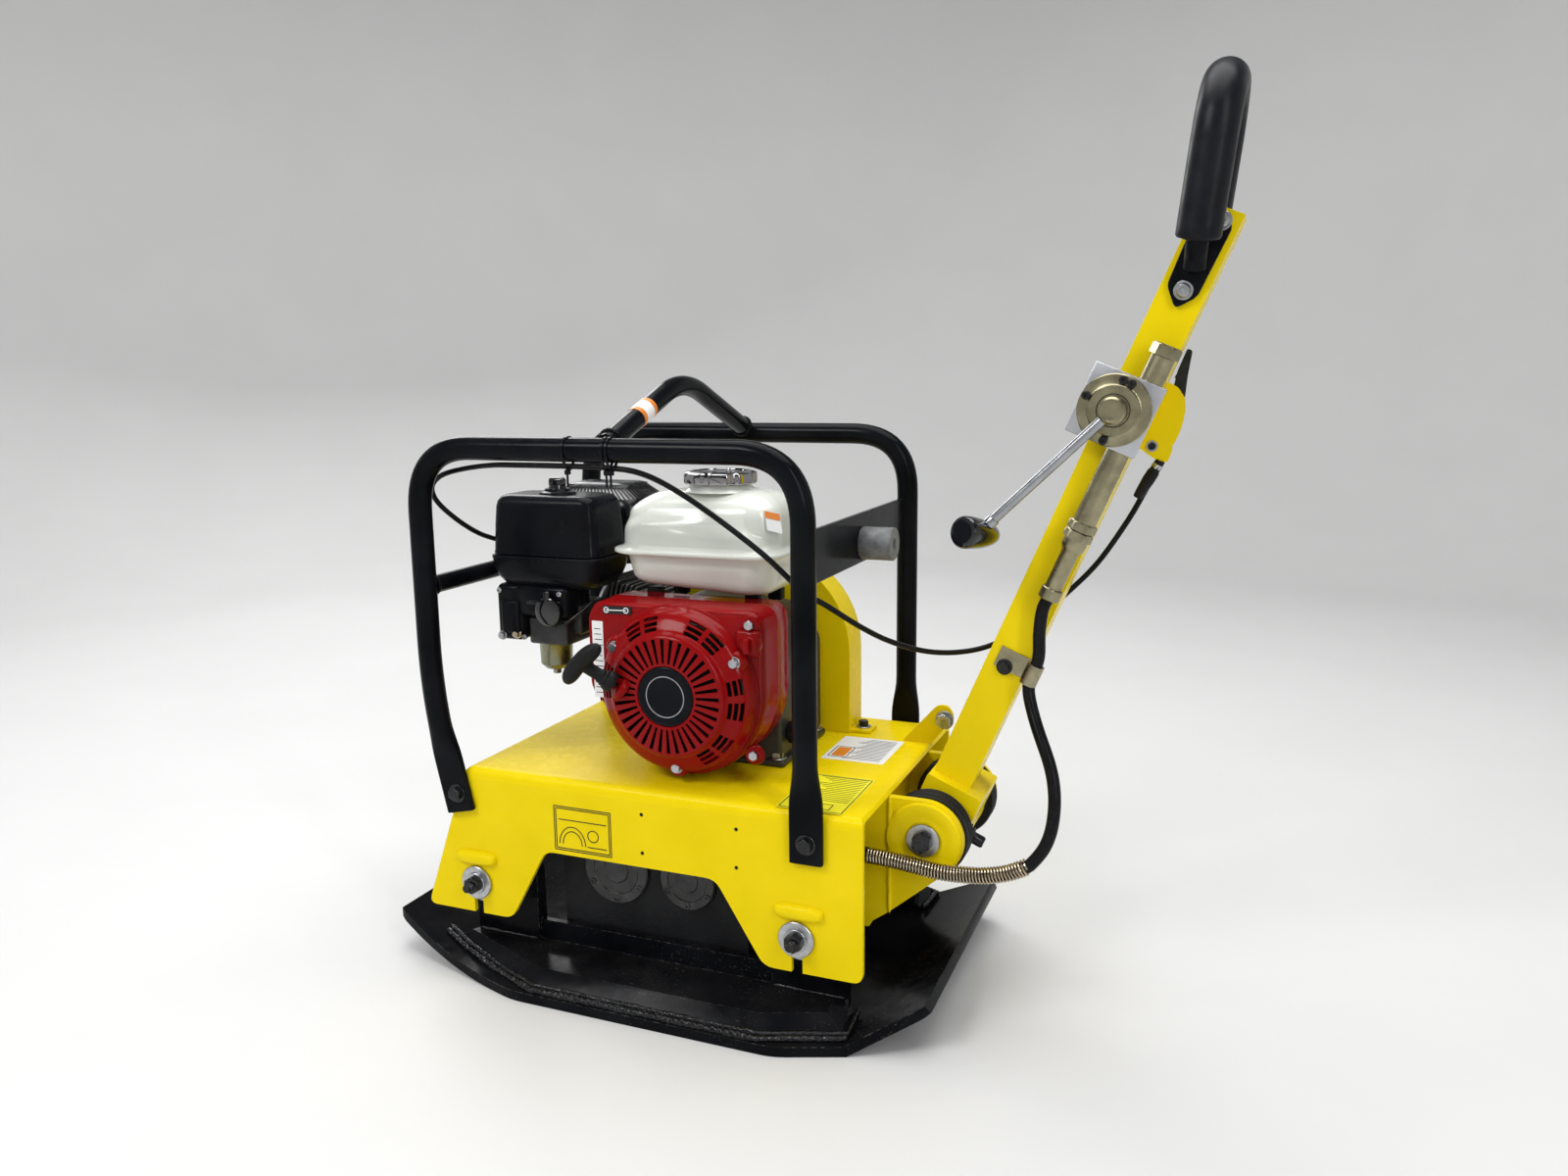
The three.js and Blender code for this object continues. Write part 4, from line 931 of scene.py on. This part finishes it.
curved = [rope_exit + pull * (47 - 5 * t * t) + bar * 34 * t for t in spaced(-1, 1, 24)]
piece("pull_grip", join(spin(boot, rope_exit + pull * 4, pull, 36), tube(curved, grip_width, 28)), RUBBER,
      "recoil", stands_for="recoil_grip")
piece("pull_guide", spin([(0, -8), (14, -8), (15, -4), (13.4, 0), (6, 1.4), (0, 1)],
                         rope_exit + pull + V(4, 4, -3), pull, 36), RED)
rope = piece("pull_rope", tube([rope_exit + pull * k for k in range(-6, 5)], 2, 14), HOSE, None)
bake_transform(rope)

piece("switch_base", join(block(116, 145.6, -141, -133.5, 417, 447, 4, 5),
                          spin([(0, 0), (13.4, 0), (13, 6), (11, 7.4), (0, 7.4)],
                               V(134, -136, 432), -Y, 40)), RED)
piece("switch_knob", join(spin([(0, 0), (10, 0), (10, 8.6), (9.2, 9.8), (0, 10)],
                               V(134, -137.4, 432), -Y, 40),
                          block(131, 137, -155, -146, 423.5, 440.5, 1.6)), RED, "switch",
      stands_for="engine_switch")

# ---- engine: tank
TANK_X, TANK_Y = 35, -20
CREASE = [(-90, 548), (-43, 553), (-15, 563), (15, 569), (45, 569), (70, 563), (90, 553), (108, 540),
          (124, 528), (150, 518)]


def crease_height(x):
    for (x0, z0), (x1, z1) in zip(CREASE, CREASE[1:]):
        if x <= x1:
            return z0 + (z1 - z0) * (x - x0) / (x1 - x0)
    return CREASE[-1][1]


def tank_ring(inset, z, turn=36):
    """Level ring of the tank: the near face steps back above the crease, the bottom rises forward."""
    ring = []
    for p in oblong(TANK_X, TANK_Y, 111 - inset, 76 - inset, turn, z, 144):
        back = step(p.z, crease_height(p.x) - 7, crease_height(p.x) + 9) * step(p.z, 522, 532)
        near = step(TANK_Y - p.y, 0, 50)
        drop = 8 * step(-p.x, -10, 75) * step(p.z, 556, 590)
        rise = 8 * step(-p.x, -120, 50) * step(-p.z, -500, -478)
        ring.append(V(p.x, p.y + 11 * back * near, p.z - drop + rise))
    return ring


tub = [(46, 470.4, 20), (34, 470.6, 24), (27, 472.2, 28), (22, 475.6, 30), (19, 480, 32),
       (17.4, 486, 34), (15.2, 503, 35), (14, 510, 35), (12.4, 514.4, 35), (9, 516.6)]
lip = [(2.4, 517.6), (1.2, 518.6), (1, 520.4), (1.4, 522), (2.8, 523), (7.4, 524), (9.6, 526.4)]
upper = [(10.2 + 0.0016 * (z - 529) ** 2, z) for z in range(529, 568, 3)]
shoulder = [(14.2, 571), (16.6, 575), (20, 579), (24, 582.6), (29, 585.8), (35, 588.4, 34),
            (42, 590.4, 30), (50, 591.5, 24), (58, 592, 16), (70, 592, 4)]
piece("tank_shell", stack(tank_ring, tub + lip + upper + shoulder), TANK, angle=70,
      stands_for="fuel_tank")
film("tank_label", (V(122, -66, 572), V(14, 12, -5), V(5, -4, -22)), LABEL, 0.3, 1.5)
film("tank_label_band", (V(122, -66.6, 572.2), V(14, 12, -5), V(1.8, -1.4, -8)), LABEL_ORANGE, 0.3, 1.5)
piece("tank_neck", spin([(0, 0), (44, 0), (42, 2.6), (39, 4.4), (37, 6.6), (36.4, 8), (0, 8)],
                        V(46, TANK_Y, 589), Z, 64), TANK)
cap_profile = [(0, -0.4), (38, -0.4), (42.6, 0.4), (44, 1.6), (44.3, 3), (44.3, 11.4), (43.6, 13.4),
               (41, 14.8), (36, 15.6), (33, 15.9), (31.4, 15.2), (30.6, 14.6), (0, 15)]
# The cap's darker chrome is a painted dark reflection.
piece("tank_cap", spin(cap_profile, V(46, TANK_Y, 597.5), Z, 192,
                       lobes=lambda a: 1 - 0.07 * step(cos(8 * a), 0.25, 0.98)), CHROME_PAINTED_DARK, "cap",
      stands_for="fuel_cap")
piece("tank_feet", join(*[block(x - 9, x + 9, y - 7, y + 7, 452, 472, 2)
                          for x in (-30, 100) for y in (-50, 20)]), PLASTIC)

# ---- engine: air cleaner, carburettor
FILTER_X, FILTER_Y = -167.5, -45


def filter_ring(inset, z, turn=16):
    return oblong(FILTER_X, FILTER_Y, 75.5 - inset, 45 - inset, turn, z)


cover = [(2, 508.4), (0.6, 509), (0.4, 511), (1, 513), (2.4, 545), (4, 568), (5.6, 574.6), (9, 579.6),
         (14, 581.8, 14), (20, 582, 12), (38, 581.4, 4)]
piece("filter_cover", stack(filter_ring, cover), PLASTIC, angle=60, stands_for="air_cleaner_cover")
tray = [(0, 507.6), (-1.6, 506.8), (-2, 505), (-1.4, 502), (0, 490), (3, 480, 18), (8, 472, 18),
        (16, 467, 16), (24, 465.4, 12)]
elbow = join(block(-241, -203, -84, -22, 398, 470, 8, 5), block(-210, -136, -84, -26, 430, 470, 7, 5),
             block(-232, -206, -88, -80, 408, 450, 3.6, 4))
piece("filter_tray", join(stack(filter_ring, tray), elbow), PLASTIC, angle=55,
      stands_for="air_cleaner_base")
piece("filter_boss", spin([(0, 0), (24, 0), (22, 3.2), (17, 4.6), (15, 7.4), (0, 7.4)],
                          V(FILTER_X, FILTER_Y, 581), Z), PLASTIC)
wing = join(spin([(0, 0), (11.6, 0), (10, 5), (0, 6)], V(FILTER_X, FILTER_Y, 588), Z, 36),
            block(-178.6, -156.4, -50.6, -39.4, 590, 602, 4, 5))
piece("filter_wing_nut", wing, GLOSS, "cleaner_knob", stands_for="air_cleaner_knob")

piece("carburettor_body", join(block(-199, -142, -77, -16, 394, 429, 4, 4),
                               block(-168, -131, -60, 3, 406, 444, 4)), DARK_ALLOY,
      stands_for="carburettor")
bowl = [(0, 0), (21.6, 0), (22.6, 2), (22.6, 6), (21, 8), (20, 34), (14, 40), (5, 42), (0, 42)]
piece("carburettor_bowl", spin(bowl, V(-178, -48, 399), -Z), BOWL)
small = [socket_screw(V(x, -84, z), -Y, 3.4, 3) for x, z in ((-234, 462), (-146, 462), (-200, 404))]
small += [bolt(V(-178, -48, 357), -Z, 10, 5, 6, 1), bolt(V(-233, -84, 404), -Y, 8, 4, 6, 1)]
piece("carburettor_screws", join(*small), ZINC)
levers = [block(-196, -146, -84.5, -82, 446, 452, 1), block(-160, -154, -86, -82.5, 418, 452, 1.2),
          tube([V(-155, -84, 420), V(-140, -82, 425), V(-122, -70, 440), V(-112, -60, 452)], 1.6, 10)]
piece("carburettor_links", join(*levers), OXIDE)
piece("carburettor_drain", bolt(V(-211, -84, 407), -Y, 8, 5, 6, 1), SPRING)
cup = [(0, 0), (6, 0), (6, 2.4), (17, 3), (18, 4.4), (17.6, 8), (15, 9.6), (7, 10), (0, 10)]
piece("choke_arm", join(spin(cup, V(-160, -84.4, 440), -Y, 56),
                        block(-164, -156, -93.5, -88, 436, 466, 1.6)), GLOSS, "choke",
      stands_for="choke_lever")

# ---- engine: exhaust, cylinder, block
GUARD_POINTS = 132
CYLINDER_FOOT = V(-62, 48, 406.5)


def even(ring, n):
    """Closed ring sampled again at n equal steps."""
    spans = [(b - a).length for a, b in zip(ring, ring[1:] + ring[:1])]
    total, out, k, run = sum(spans), [], 0, 0.0
    for i in range(n):
        target = total * i / n
        while run + spans[k] < target:
            run += spans[k]
            k += 1
        share = (target - run) / max(spans[k], 1e-9)
        out.append(ring[k].lerp(ring[(k + 1) % len(ring)], share))
    return out


def muffler_ring(inset, z, turn=20):
    return even(oblong(-162, 69, 70 - inset, 55 - inset, turn, z), GUARD_POINTS)


def guard_shell():
    """Open sheet cover with slots all round its shoulder and louvres low down."""
    levels = [(0, 520), (0, 524), (0, 548), (1, 558), (3, 564), (6, 569), (19, 582), (24, 585.6, 10),
              (30, 587.4, 10), (36, 588, 10), (48, 588, 10)]
    points, faces = stack(muffler_ring, levels, cap=False)
    kept = []
    for k, face in enumerate(faces):
        level, i = divmod(k, GUARD_POINTS)
        if not (level == 5 and i % 2 or level == 1 and i % 4 < 2):
            kept.append(face)
    return points, [*kept, list(range(len(points) - GUARD_POINTS, len(points)))]


piece("muffler_can", stack(muffler_ring, [(14, 484), (5, 485.6), (2, 490), (2, 554), (4, 556),
                                          (40, 556.4, 8)]), EXHAUST, angle=60)
# Pale sheet just behind the shoulder slots: painted light seen through the slots.
piece("muffler_painted_light_sheet", stack(muffler_ring, [(30, 557, 8), (5, 557.6), (8.4, 568.4), (21, 581),
                                            (32, 584.4, 8)]), SLOT_LIGHT_SHEET, angle=60)
piece("muffler_guard", guard_shell(), EXHAUST, thick=1.2, bevel=0.3, angle=40, stands_for="muffler")
bore = V(-94, 0, 26).normalized()
across = V(-bore.z, 0, bore.x)
fins = []
for k in range(12):
    half = 43 if k % 4 else 40
    outline = rounded([(-half, -44), (half, -44), (half, 44), (-half, 44)], 6)
    fins.append(slab(outline, V(-64, 48, 407) + bore * (6 + 6.6 * k), across, Y, 2.4))
piece("cylinder_fins", join(*fins, spin(rod(34, 0, 84), CYLINDER_FOOT, bore, 40)), ALLOY, bevel=0.5,
      stands_for="cylinder_head")
piece("rocker_cover", spin([(0, 82), (40, 82), (40, 88), (30, 96.5), (0, 96.5)], CYLINDER_FOOT, bore, 40),
      ZINC)
refine("crankcase", DARK_ALLOY, 5, 4)
ribs = [block(-56, 132, y, y + 3, 264, 296, 1) for y in (-52, -20, 12, 44, 76)]
piece("crankcase_feet", join(*ribs, block(-58, 140, -60, 86, 263.4, 272, 3)), DARK_ALLOY)
piece("crankcase_cover", spin([(30, 0), (70, 0), (70, 8), (64, 12), (44, 14), (36, 15.4), (30, 15.4)],
                              at_crank(84), Y, 56, loop=True), ALLOY)
cover_bolts = [bolt(p, Y, 8, 3.4, 6, 1) for p in on_circle(at_crank(96), 62, range(15, 375, 60))]
foot_bolts = [bolt(V(x, y, 272), Z, 13, 6, 11, 1.6) for x in (-46, 128) for y in (-50, 76)]
piece("crankcase_bolts", join(*cover_bolts, *foot_bolts), ZINC)
plug = [(0, 0), (9, 0), (9, 3), (14, 4), (14, 14), (12, 16), (0, 16)]
piece("oil_plugs", join(spin(plug, V(134, -30, 300), X, 32), spin(plug, V(-54, -20, 300), -X, 32)),
      PLASTIC)

keep(STEEL, "eccentric_shaft_front", "eccentric_shaft_rear", "exciter_pulley", "clutch_pulley",
     "crankshaft", "rack_piston")
keep(RUBBER, "v_belt")

# ---- handle bracket and pivot
PIVOT = V(320, 0, 211)
refine("handle_bracket", YELLOW, 1.6)
ridges = [(47.9 - 1.6 * abs(sin(pi * k / 4)), 55 + 20.6 * k / 8) for k in range(9)]
pivot_ring = [(10.4, 52.4), (46.5, 52.4), (47.6, 54), *ridges, (47.6, 77.6), (46.5, 79.6), (10.4, 79.6)]
for side, hand in SIDES:
    out = Y * side
    dish = [(21, 0), (43.6, 0), (43.4, 2), (41.6, 3.6), (34, 4), (29, 1.6), (21, 1)]
    piece("ear_dish_" + hand, spin(dish, PIVOT + out * 90, out, 64, loop=True), YELLOW)
    piece("pivot_ring_" + hand, spin(pivot_ring, PIVOT, out, 72, loop=True), RUBBER,
          stands_for="pivot_rubber_" + hand)
near, far = PIVOT - Y * 90.4, PIVOT + Y * 90.4
piece("pivot_bolt_head", join(hex_head(near - Y * 4, -Y, 20, 9.6),
                              spin([(0, 9), (6, 9), (5.6, 10.2), (0, 10.2)], near - Y * 4, -Y, 32)), OXIDE)
piece("pivot_bolt_set", join(spin(rod(9.9, -90, 90), PIVOT, Y, 36), washer(near, -Y, 19, 4),
                             washer(far, Y, 16, 3), hex_head(far, Y, 24, 9, 3),
                             stud(far, Y, 8, 11, 15.6)), ZINC, stands_for="pivot_bolt")
piece("stop_bolt", join(bolt(V(296, 93.8, 296), -Y, 17, 8, 12, 2),
                        spin(rod(6, 0, 7), V(296, 93, 296), Y, 28),
                        hex_head(V(296, 100, 296), Y, 17, 8)), ZINC)
piece("ear_welds", join(*[bead([V(281, y, 256), V(281, y, 118)], 3) for y in (-91, 91)]), YELLOW)

# ---- handle
TILT = radians(22.9)
FORE = V(cos(TILT), 0, -sin(TILT))
ALONG = V(sin(TILT), 0, cos(TILT))
GRIP_LOW, GRIP_TURN, GRIP_HALF = 824, 946.5, 57


def H(w, y, u):
    """Point of the handle: fore and aft, across, up the pole."""
    return PIVOT + FORE * w + Y * y + ALONG * u


def pole_block(w0, w1, y0, y1, u0, u1, r=1.5):
    points, faces = block(w0, w1, y0, y1, u0, u1, r)
    return [H(*p) for p in points], faces


def loop_path(start):
    """Grip loop, from start above its foot, round the top and down again."""
    foot = GRIP_LOW + start
    leg = [(-39 - 18 * step(z, GRIP_LOW, GRIP_LOW + 30), z) for z in spaced(foot, GRIP_TURN, 12)]
    turn = [pi * k / 12 for k in range(1, 12)]
    pts = leg + [(-GRIP_HALF * cos(a), GRIP_TURN + GRIP_HALF * sin(a)) for a in turn]
    pts += [(-y, z) for y, z in reversed(leg)]
    slope = tan(radians(6.4))
    return smooth([V(574.5 + (z - GRIP_LOW) * slope, y, z) for y, z in pts], 4)


def foam_width(t):
    """Radius of the foam, rounded over at both ends."""
    s = min(t, 1 - t) * 374
    return 12.8 + 8.95 * sqrt(1 - (1 - min(1, s / 6)) ** 2)


refine("handle_pole", YELLOW, 3.2, 4)
latch = [(0, 0), (11, 0), (11, 8), (9, 10), (7, 10), (7, 22), (5.6, 24), (0, 24)]
piece("latch_pin", spin(latch, H(34, -20, -1), FORE, 32), OXIDE, "handle")
piece("latch_boot", spin([(0, 0), (14, 0), (15, 4), (13.4, 9), (0, 9)], H(29, -20, -1), FORE, 36),
      RUBBER, "handle")
piece("foot_screws", bolt(H(2, -45.2, 34), -Y, 10, 4, 7, 1.2), ZINC, "handle")
plate = rounded([(-24, 688), (-22, 640), (-5, 622), (10, 640), (12, 712), (0, 724), (-10, 716)], 6)
cheeks = [slab(plate, PIVOT + Y * y, FORE, ALONG, 5) for y in (-27.3, 32.3)]
piece("grip_tube", join(tube(loop_path(0), 11, 28), *cheeks), BLACK, "handle", bevel=0.8,
      stands_for="grip_frame")
piece("foam_sleeve", tube(loop_path(25), foam_width, 40), FOAM, "handle", stands_for="grip_foam")
cup = [(0, 1.6), (7.2, 1.6), (7, 4.6), (5.6, 6.2), (3.4, 6.4), (3.2, 4), (0, 4)]
grip_bolts = []
for w, u in ((-5, 641), (0, 714)):
    for s in (-1, 1):
        at = H(w, 32.4 * s, u)
        grip_bolts += [washer(at, Y * s, 9.6, 1.6), spin(cup, at, Y * s, 36)]
piece("grip_bolts", join(*grip_bolts), ZINC, "handle")

# ---- travel control
hub = H(-13.6, 0, 510)
cylinder_at = H(6, -43.3, 0)
piece("control_plate", pole_block(-51.6, 24.4, -56, -50, 472, 548, 1.2), PLATE, "handle")
tower = [(0, 300), (9.5, 300), (9.5, 356), (10.6, 358), (12.6, 362), (13, 366), (13, 372), (0, 372)]
collar = [(11, 300), (11.8, 301), (11.8, 312), (11, 313), (9.6, 313), (9.6, 300)]
flange = [(0, 0), (36.4, 0), (37, 0.6), (37, 11), (36, 12), (27.6, 12), (26.5, 12.6), (26.5, 15.6),
          (25.2, 17), (17, 17), (16, 15.8), (0, 15.8)]
housing = [pole_block(-35.6, 16.4, -50, -27.4, 480, 540, 2), spin(tower, cylinder_at, ALONG, 40),
           spin(rod(12.4, 391, 575), cylinder_at, ALONG, 44), spin(collar, cylinder_at, ALONG, 40, loop=True),
           spin(flange, hub - Y * 56, -Y, 80)]
housing += [hex_head(cylinder_at, ALONG, 27, height, u)
            for height, u in ((12, 575.5), (9.4, 371.6), (9.4, 381.8))]
piece("control_housing", join(*housing), OLIVE, "handle", stands_for="control_body")
screws = [socket_screw(p, -Y, 4.4, 4.6) for p in on_circle(hub - Y * 67.6, 31.5, (74, 57, 151, -107))]
piece("control_screws", join(*screws), INK, "handle")
lean = radians(23)
down = (FORE * -sin(lean) - ALONG * cos(lean)).normalized()
boss = hub - Y * 73.3
arm_at = hub - Y * 80
knob_at = arm_at + down * 185
boss_shape = [(0, -17), (8, -17), (8, -0.6), (13, -0.6), (14, 0.4), (14, 11.4), (12, 13.6),
              (10.4, 13.8), (10, 13.4), (0, 13.4)]
piece("lever_boss", spin(boss_shape, boss, -Y, 56), OLIVE, "travel_control", stands_for="travel_lever")
piece("lever_arm", join(spin([(0, 9), (5.4, 9), (5.4, 165), (5.2, 178), (0, 178)], arm_at, down, 32),
                        spin([(0, 161), (6.6, 161), (7, 162), (7, 169), (0, 169)], arm_at, down, 32)),
      ROD, "travel_control")
knob_axis = (FORE * 0.42 + Y * 0.9).normalized()
barrel = [(0, -28), (13, -28), (15.6, -27.3), (17, -25.4), (17.4, -22), (17.4, -14), (17, -6), (16, 3),
          (14.4, 12), (12.4, 20), (10, 26), (7, 28.6), (3.4, 29.6), (0, 29.8)]
piece("lever_knob", spin(barrel, knob_at, knob_axis, 56), GLOSS, "travel_control",
      stands_for="travel_knob")
piece("knob_disc", spin([(0, 0), (12, 0), (12, 0.3), (11, 0.5), (0, 0.5)], knob_at - knob_axis * 27.9,
                        -knob_axis, 40), PLASTIC, "travel_control")
piece("lever_spacer", spin(rod(11, 0, 3), boss + Y * 17, -Y, 32), STEEL, "travel_control")

# ---- throttle
bracket = [(18, 480), (40, 475), (53.4, 477), (52.6, 490), (50.4, 493), (51.4, 504), (50.6, 516),
           (47, 532), (41, 544), (30, 551.6), (18, 553)]
piece("throttle_guard", slab(rounded(bracket, 2.4, 3), PIVOT + Y * 8, FORE, ALONG, 6), YELLOW,
      "handle", bevel=1.2, stands_for="throttle_bracket")
piece("throttle_screw", spin([(2, 0), (6, 0), (6, 1.2), (2, 1.2)], H(32, 2, 486.4), -Y, 40, loop=True),
      ZINC, "handle")
piece("throttle_screw_head", socket_screw(H(32, 1.2, 486.4), -Y, 4, 3.4), OXIDE, "handle")
blade = [(31, 515), (46, 518), (40, 545), (33, 566), (26.4, 591), (20.6, 591), (21.5, 566), (27, 540)]
piece("throttle_arm", join(spin([(0, 0), (9, 0), (9, 6.4), (8, 7.6), (0, 7.6)], H(38, 8.4, 525), Y, 36),
                           slab(rounded(blade, 2.4), PIVOT + Y * 11.6, FORE, ALONG, 3.2)), OXIDE,
      "throttle", bevel=0.7, stands_for="throttle_lever")
thumb_at = H(27, 8.6, 562)
piece("throttle_thumb", join(spin([(0, 0), (5.4, 0), (6, 0.8), (6, 11.4), (5.2, 12.4), (0, 12.4)],
                                  thumb_at, Y, 6),
                             spin([(0, 12), (4, 12), (3.6, 13), (0, 13)], thumb_at, Y, 24)),
      OXIDE, "throttle", bevel=0.5)
boot_at = H(45, 5, 464)
boot_run = (H(41.4, 8, 434) - boot_at).normalized()
cable_boot = [(0, -12), (5, -12), (5.4, 0), (6.4, 2), (6.6, 12), (5.4, 28), (4.6, 34), (0, 34)]
piece("cable_boot", spin(cable_boot, boot_at, boot_run, 32), RUBBER, "handle")
piece("cable_ferrule", spin(rod(6, -8, -3), boot_at, boot_run, 6), ZINC, "handle")

# ---- clamp, hose, cable
clamp_at = H(25, -38, 214)
strap_path = [H(-18, -28.4, 214), H(0, -28.4, 214), H(14, -28.4, 214), H(19, -30, 214)]
strap_path += on_circle(clamp_at, 8.6, range(125, -188, -26), FORE, Y)
piece("clamp_strap", ribbon(smooth(strap_path, 3), ALONG * 12, 1), OLIVE, "handle", bevel=0.4,
      stands_for="hose_clamp")
piece("clamp_screw", bolt(H(-6, -29.4, 205), -Y, 10, 5, 9, 1.4), INK, "handle")

guard_route = [V(439, -105.5, 203.5), V(418, -108, 194), V(395, -110, 188.5), V(370, -111, 186),
               V(346, -112, 186), V(318, -112, 188.5), V(290, -112, 191.5), V(262, -112, 193)]
hose_route = [H(6, -43.3, 302), H(6, -43.3, 286), H(13, -42, 262), H(22, -39, 240), H(25, -38, 228),
              clamp_at, H(25, -38, 198), V(429, -46, 362), V(438, -60, 340), V(452, -72, 318),
              V(462, -82, 292), V(464, -90, 264), V(462, -97, 240), V(455, -102, 220), *guard_route]
hose_run = smooth(hose_route)
# The hose is stiff: the bend between its clamp and its guard is eased, and its ends stay where they are.
FREE, HELD = 43, 111
for _ in range(60):
    eased = zip(hose_run[FREE - 1:], hose_run[FREE:HELD], hose_run[FREE + 1:])
    hose_run[FREE:HELD] = [(a + b * 2 + c) / 4 for a, b, c in eased]
hose = piece("hose_line", tube(hose_run, 6.9, 28), HOSE, None, stands_for="hydraulic_hose")
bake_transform(hose)


def helix(path, radius, wire, pitch, per=14):
    """Wire wound round a path."""
    run, points = 0.0, []
    line = frames(path)
    for (p, u, v), (q, _, _) in zip(line, line[1:]):
        length = (q - p).length
        count = max(1, round(length / pitch * per))
        for k in range(count):
            turned = 360 * (run + length * k / count) / pitch
            points += on_circle(p.lerp(q, k / count), radius, [turned], u, v)
        run += length
    return tube(points, wire, 7)


piece("hose_spring", helix(smooth(guard_route, 10), 8.1, 1.35, 3.5), SPRING, stands_for="spring_guard")
refine("hydraulic_pipe", OLIVE, 0.6)
fitting_at = V(246, -112, 193)
piece("hose_fitting", join(hex_head(fitting_at, X, 22, 9),
                           spin([(0, 9), (9, 9), (9.4, 10), (9.4, 15), (0, 15)], fitting_at, X, 36)), OLIVE)

cable_route = [V(-184, -10.5, 446), V(-194, -3, 452), V(-208, 6, 461), V(-224, 8, 474), V(-240, 8, 490),
               V(-251, 4, 502), V(-258, -14, 511), V(-260, -50, 521), V(-259, -90, 535),
               V(-263, -125, 556), V(-270, -150, 580), V(-266, -162, 599), V(-247, -167, 613),
               V(-209, -176, 622), V(-162, -187, 628), V(-120, -191, 629), V(-57, -191, 629),
               V(-8, -191, 628), V(26, -189, 624), V(58, -184, 611), V(102, -178, 584),
               V(162, -170, 540), V(204, -160, 500), V(224, -141, 482), V(251, -100, 451),
               V(273, -60, 428), V(303, -22, 411), V(334, 12, 405), V(366, 34, 411),
               V(406, 43, 434), V(450, 43, 477), V(483, 40, 514), V(513, 30, 561), V(530, 18, 593),
               V(539, 8, 612)]
cable = piece("cable_line", tube(smooth(cable_route), 3.15, 18), HOSE, None, stands_for="throttle_cable")
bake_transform(cable)


def tie_point(x, degrees):
    """Point of a tie: round the hoop above, drawn in round the cable below."""
    c, s = cos(radians(degrees)), sin(radians(degrees))
    if s > 0:
        return V(x, -HOOP_Y + 14.4 * c, HOOP_TOP + 14.4 * s)
    return V(x, -HOOP_Y + 14.4 * c * (1 - 0.42 * s * s), HOOP_TOP + 22.6 * s)


ties = []
for x in (-57, -8, -2.6):
    ties += [ribbon([tie_point(x, a) for a in range(0, 361, 10)], X * 1.5, 0.6),
             block(x - 2.6, x + 2.6, -197, -191, 620, 625.4, 0.8),
             block(x - 1.2, x + 1.2, -195.4, -193.8, 607, 621, 0.5)]
piece("cable_ties", join(*ties), PLASTIC)

# ---- floor
FLOOR = Look("pale_sweep", (0.68, 0.68, 0.675), 0.65, drift=0.012, drift_scale=3, grain=0.04,
             grain_scale=60, sheen=0.2)
FLAT, BEND, RISE = 3000, 1600, 3400
sweep = [(0.001, 0), (FLAT / 2, 0), (FLAT, 0)]
sweep += [(FLAT + BEND * sin(a), BEND * (1 - cos(a)))
          for a in (pi / 2 * k / 24 for k in range(1, 25))]
sweep.append((FLAT + BEND, RISE))
turn = full_turn(96)
floor = loft([on_circle(V(0, 0, h), r, turn, X, Y) for r, h in sweep], cap=False)
piece("floor", floor, FLOOR, None)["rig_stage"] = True
bpy.context.scene.view_settings.view_transform = "Standard"

low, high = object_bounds()
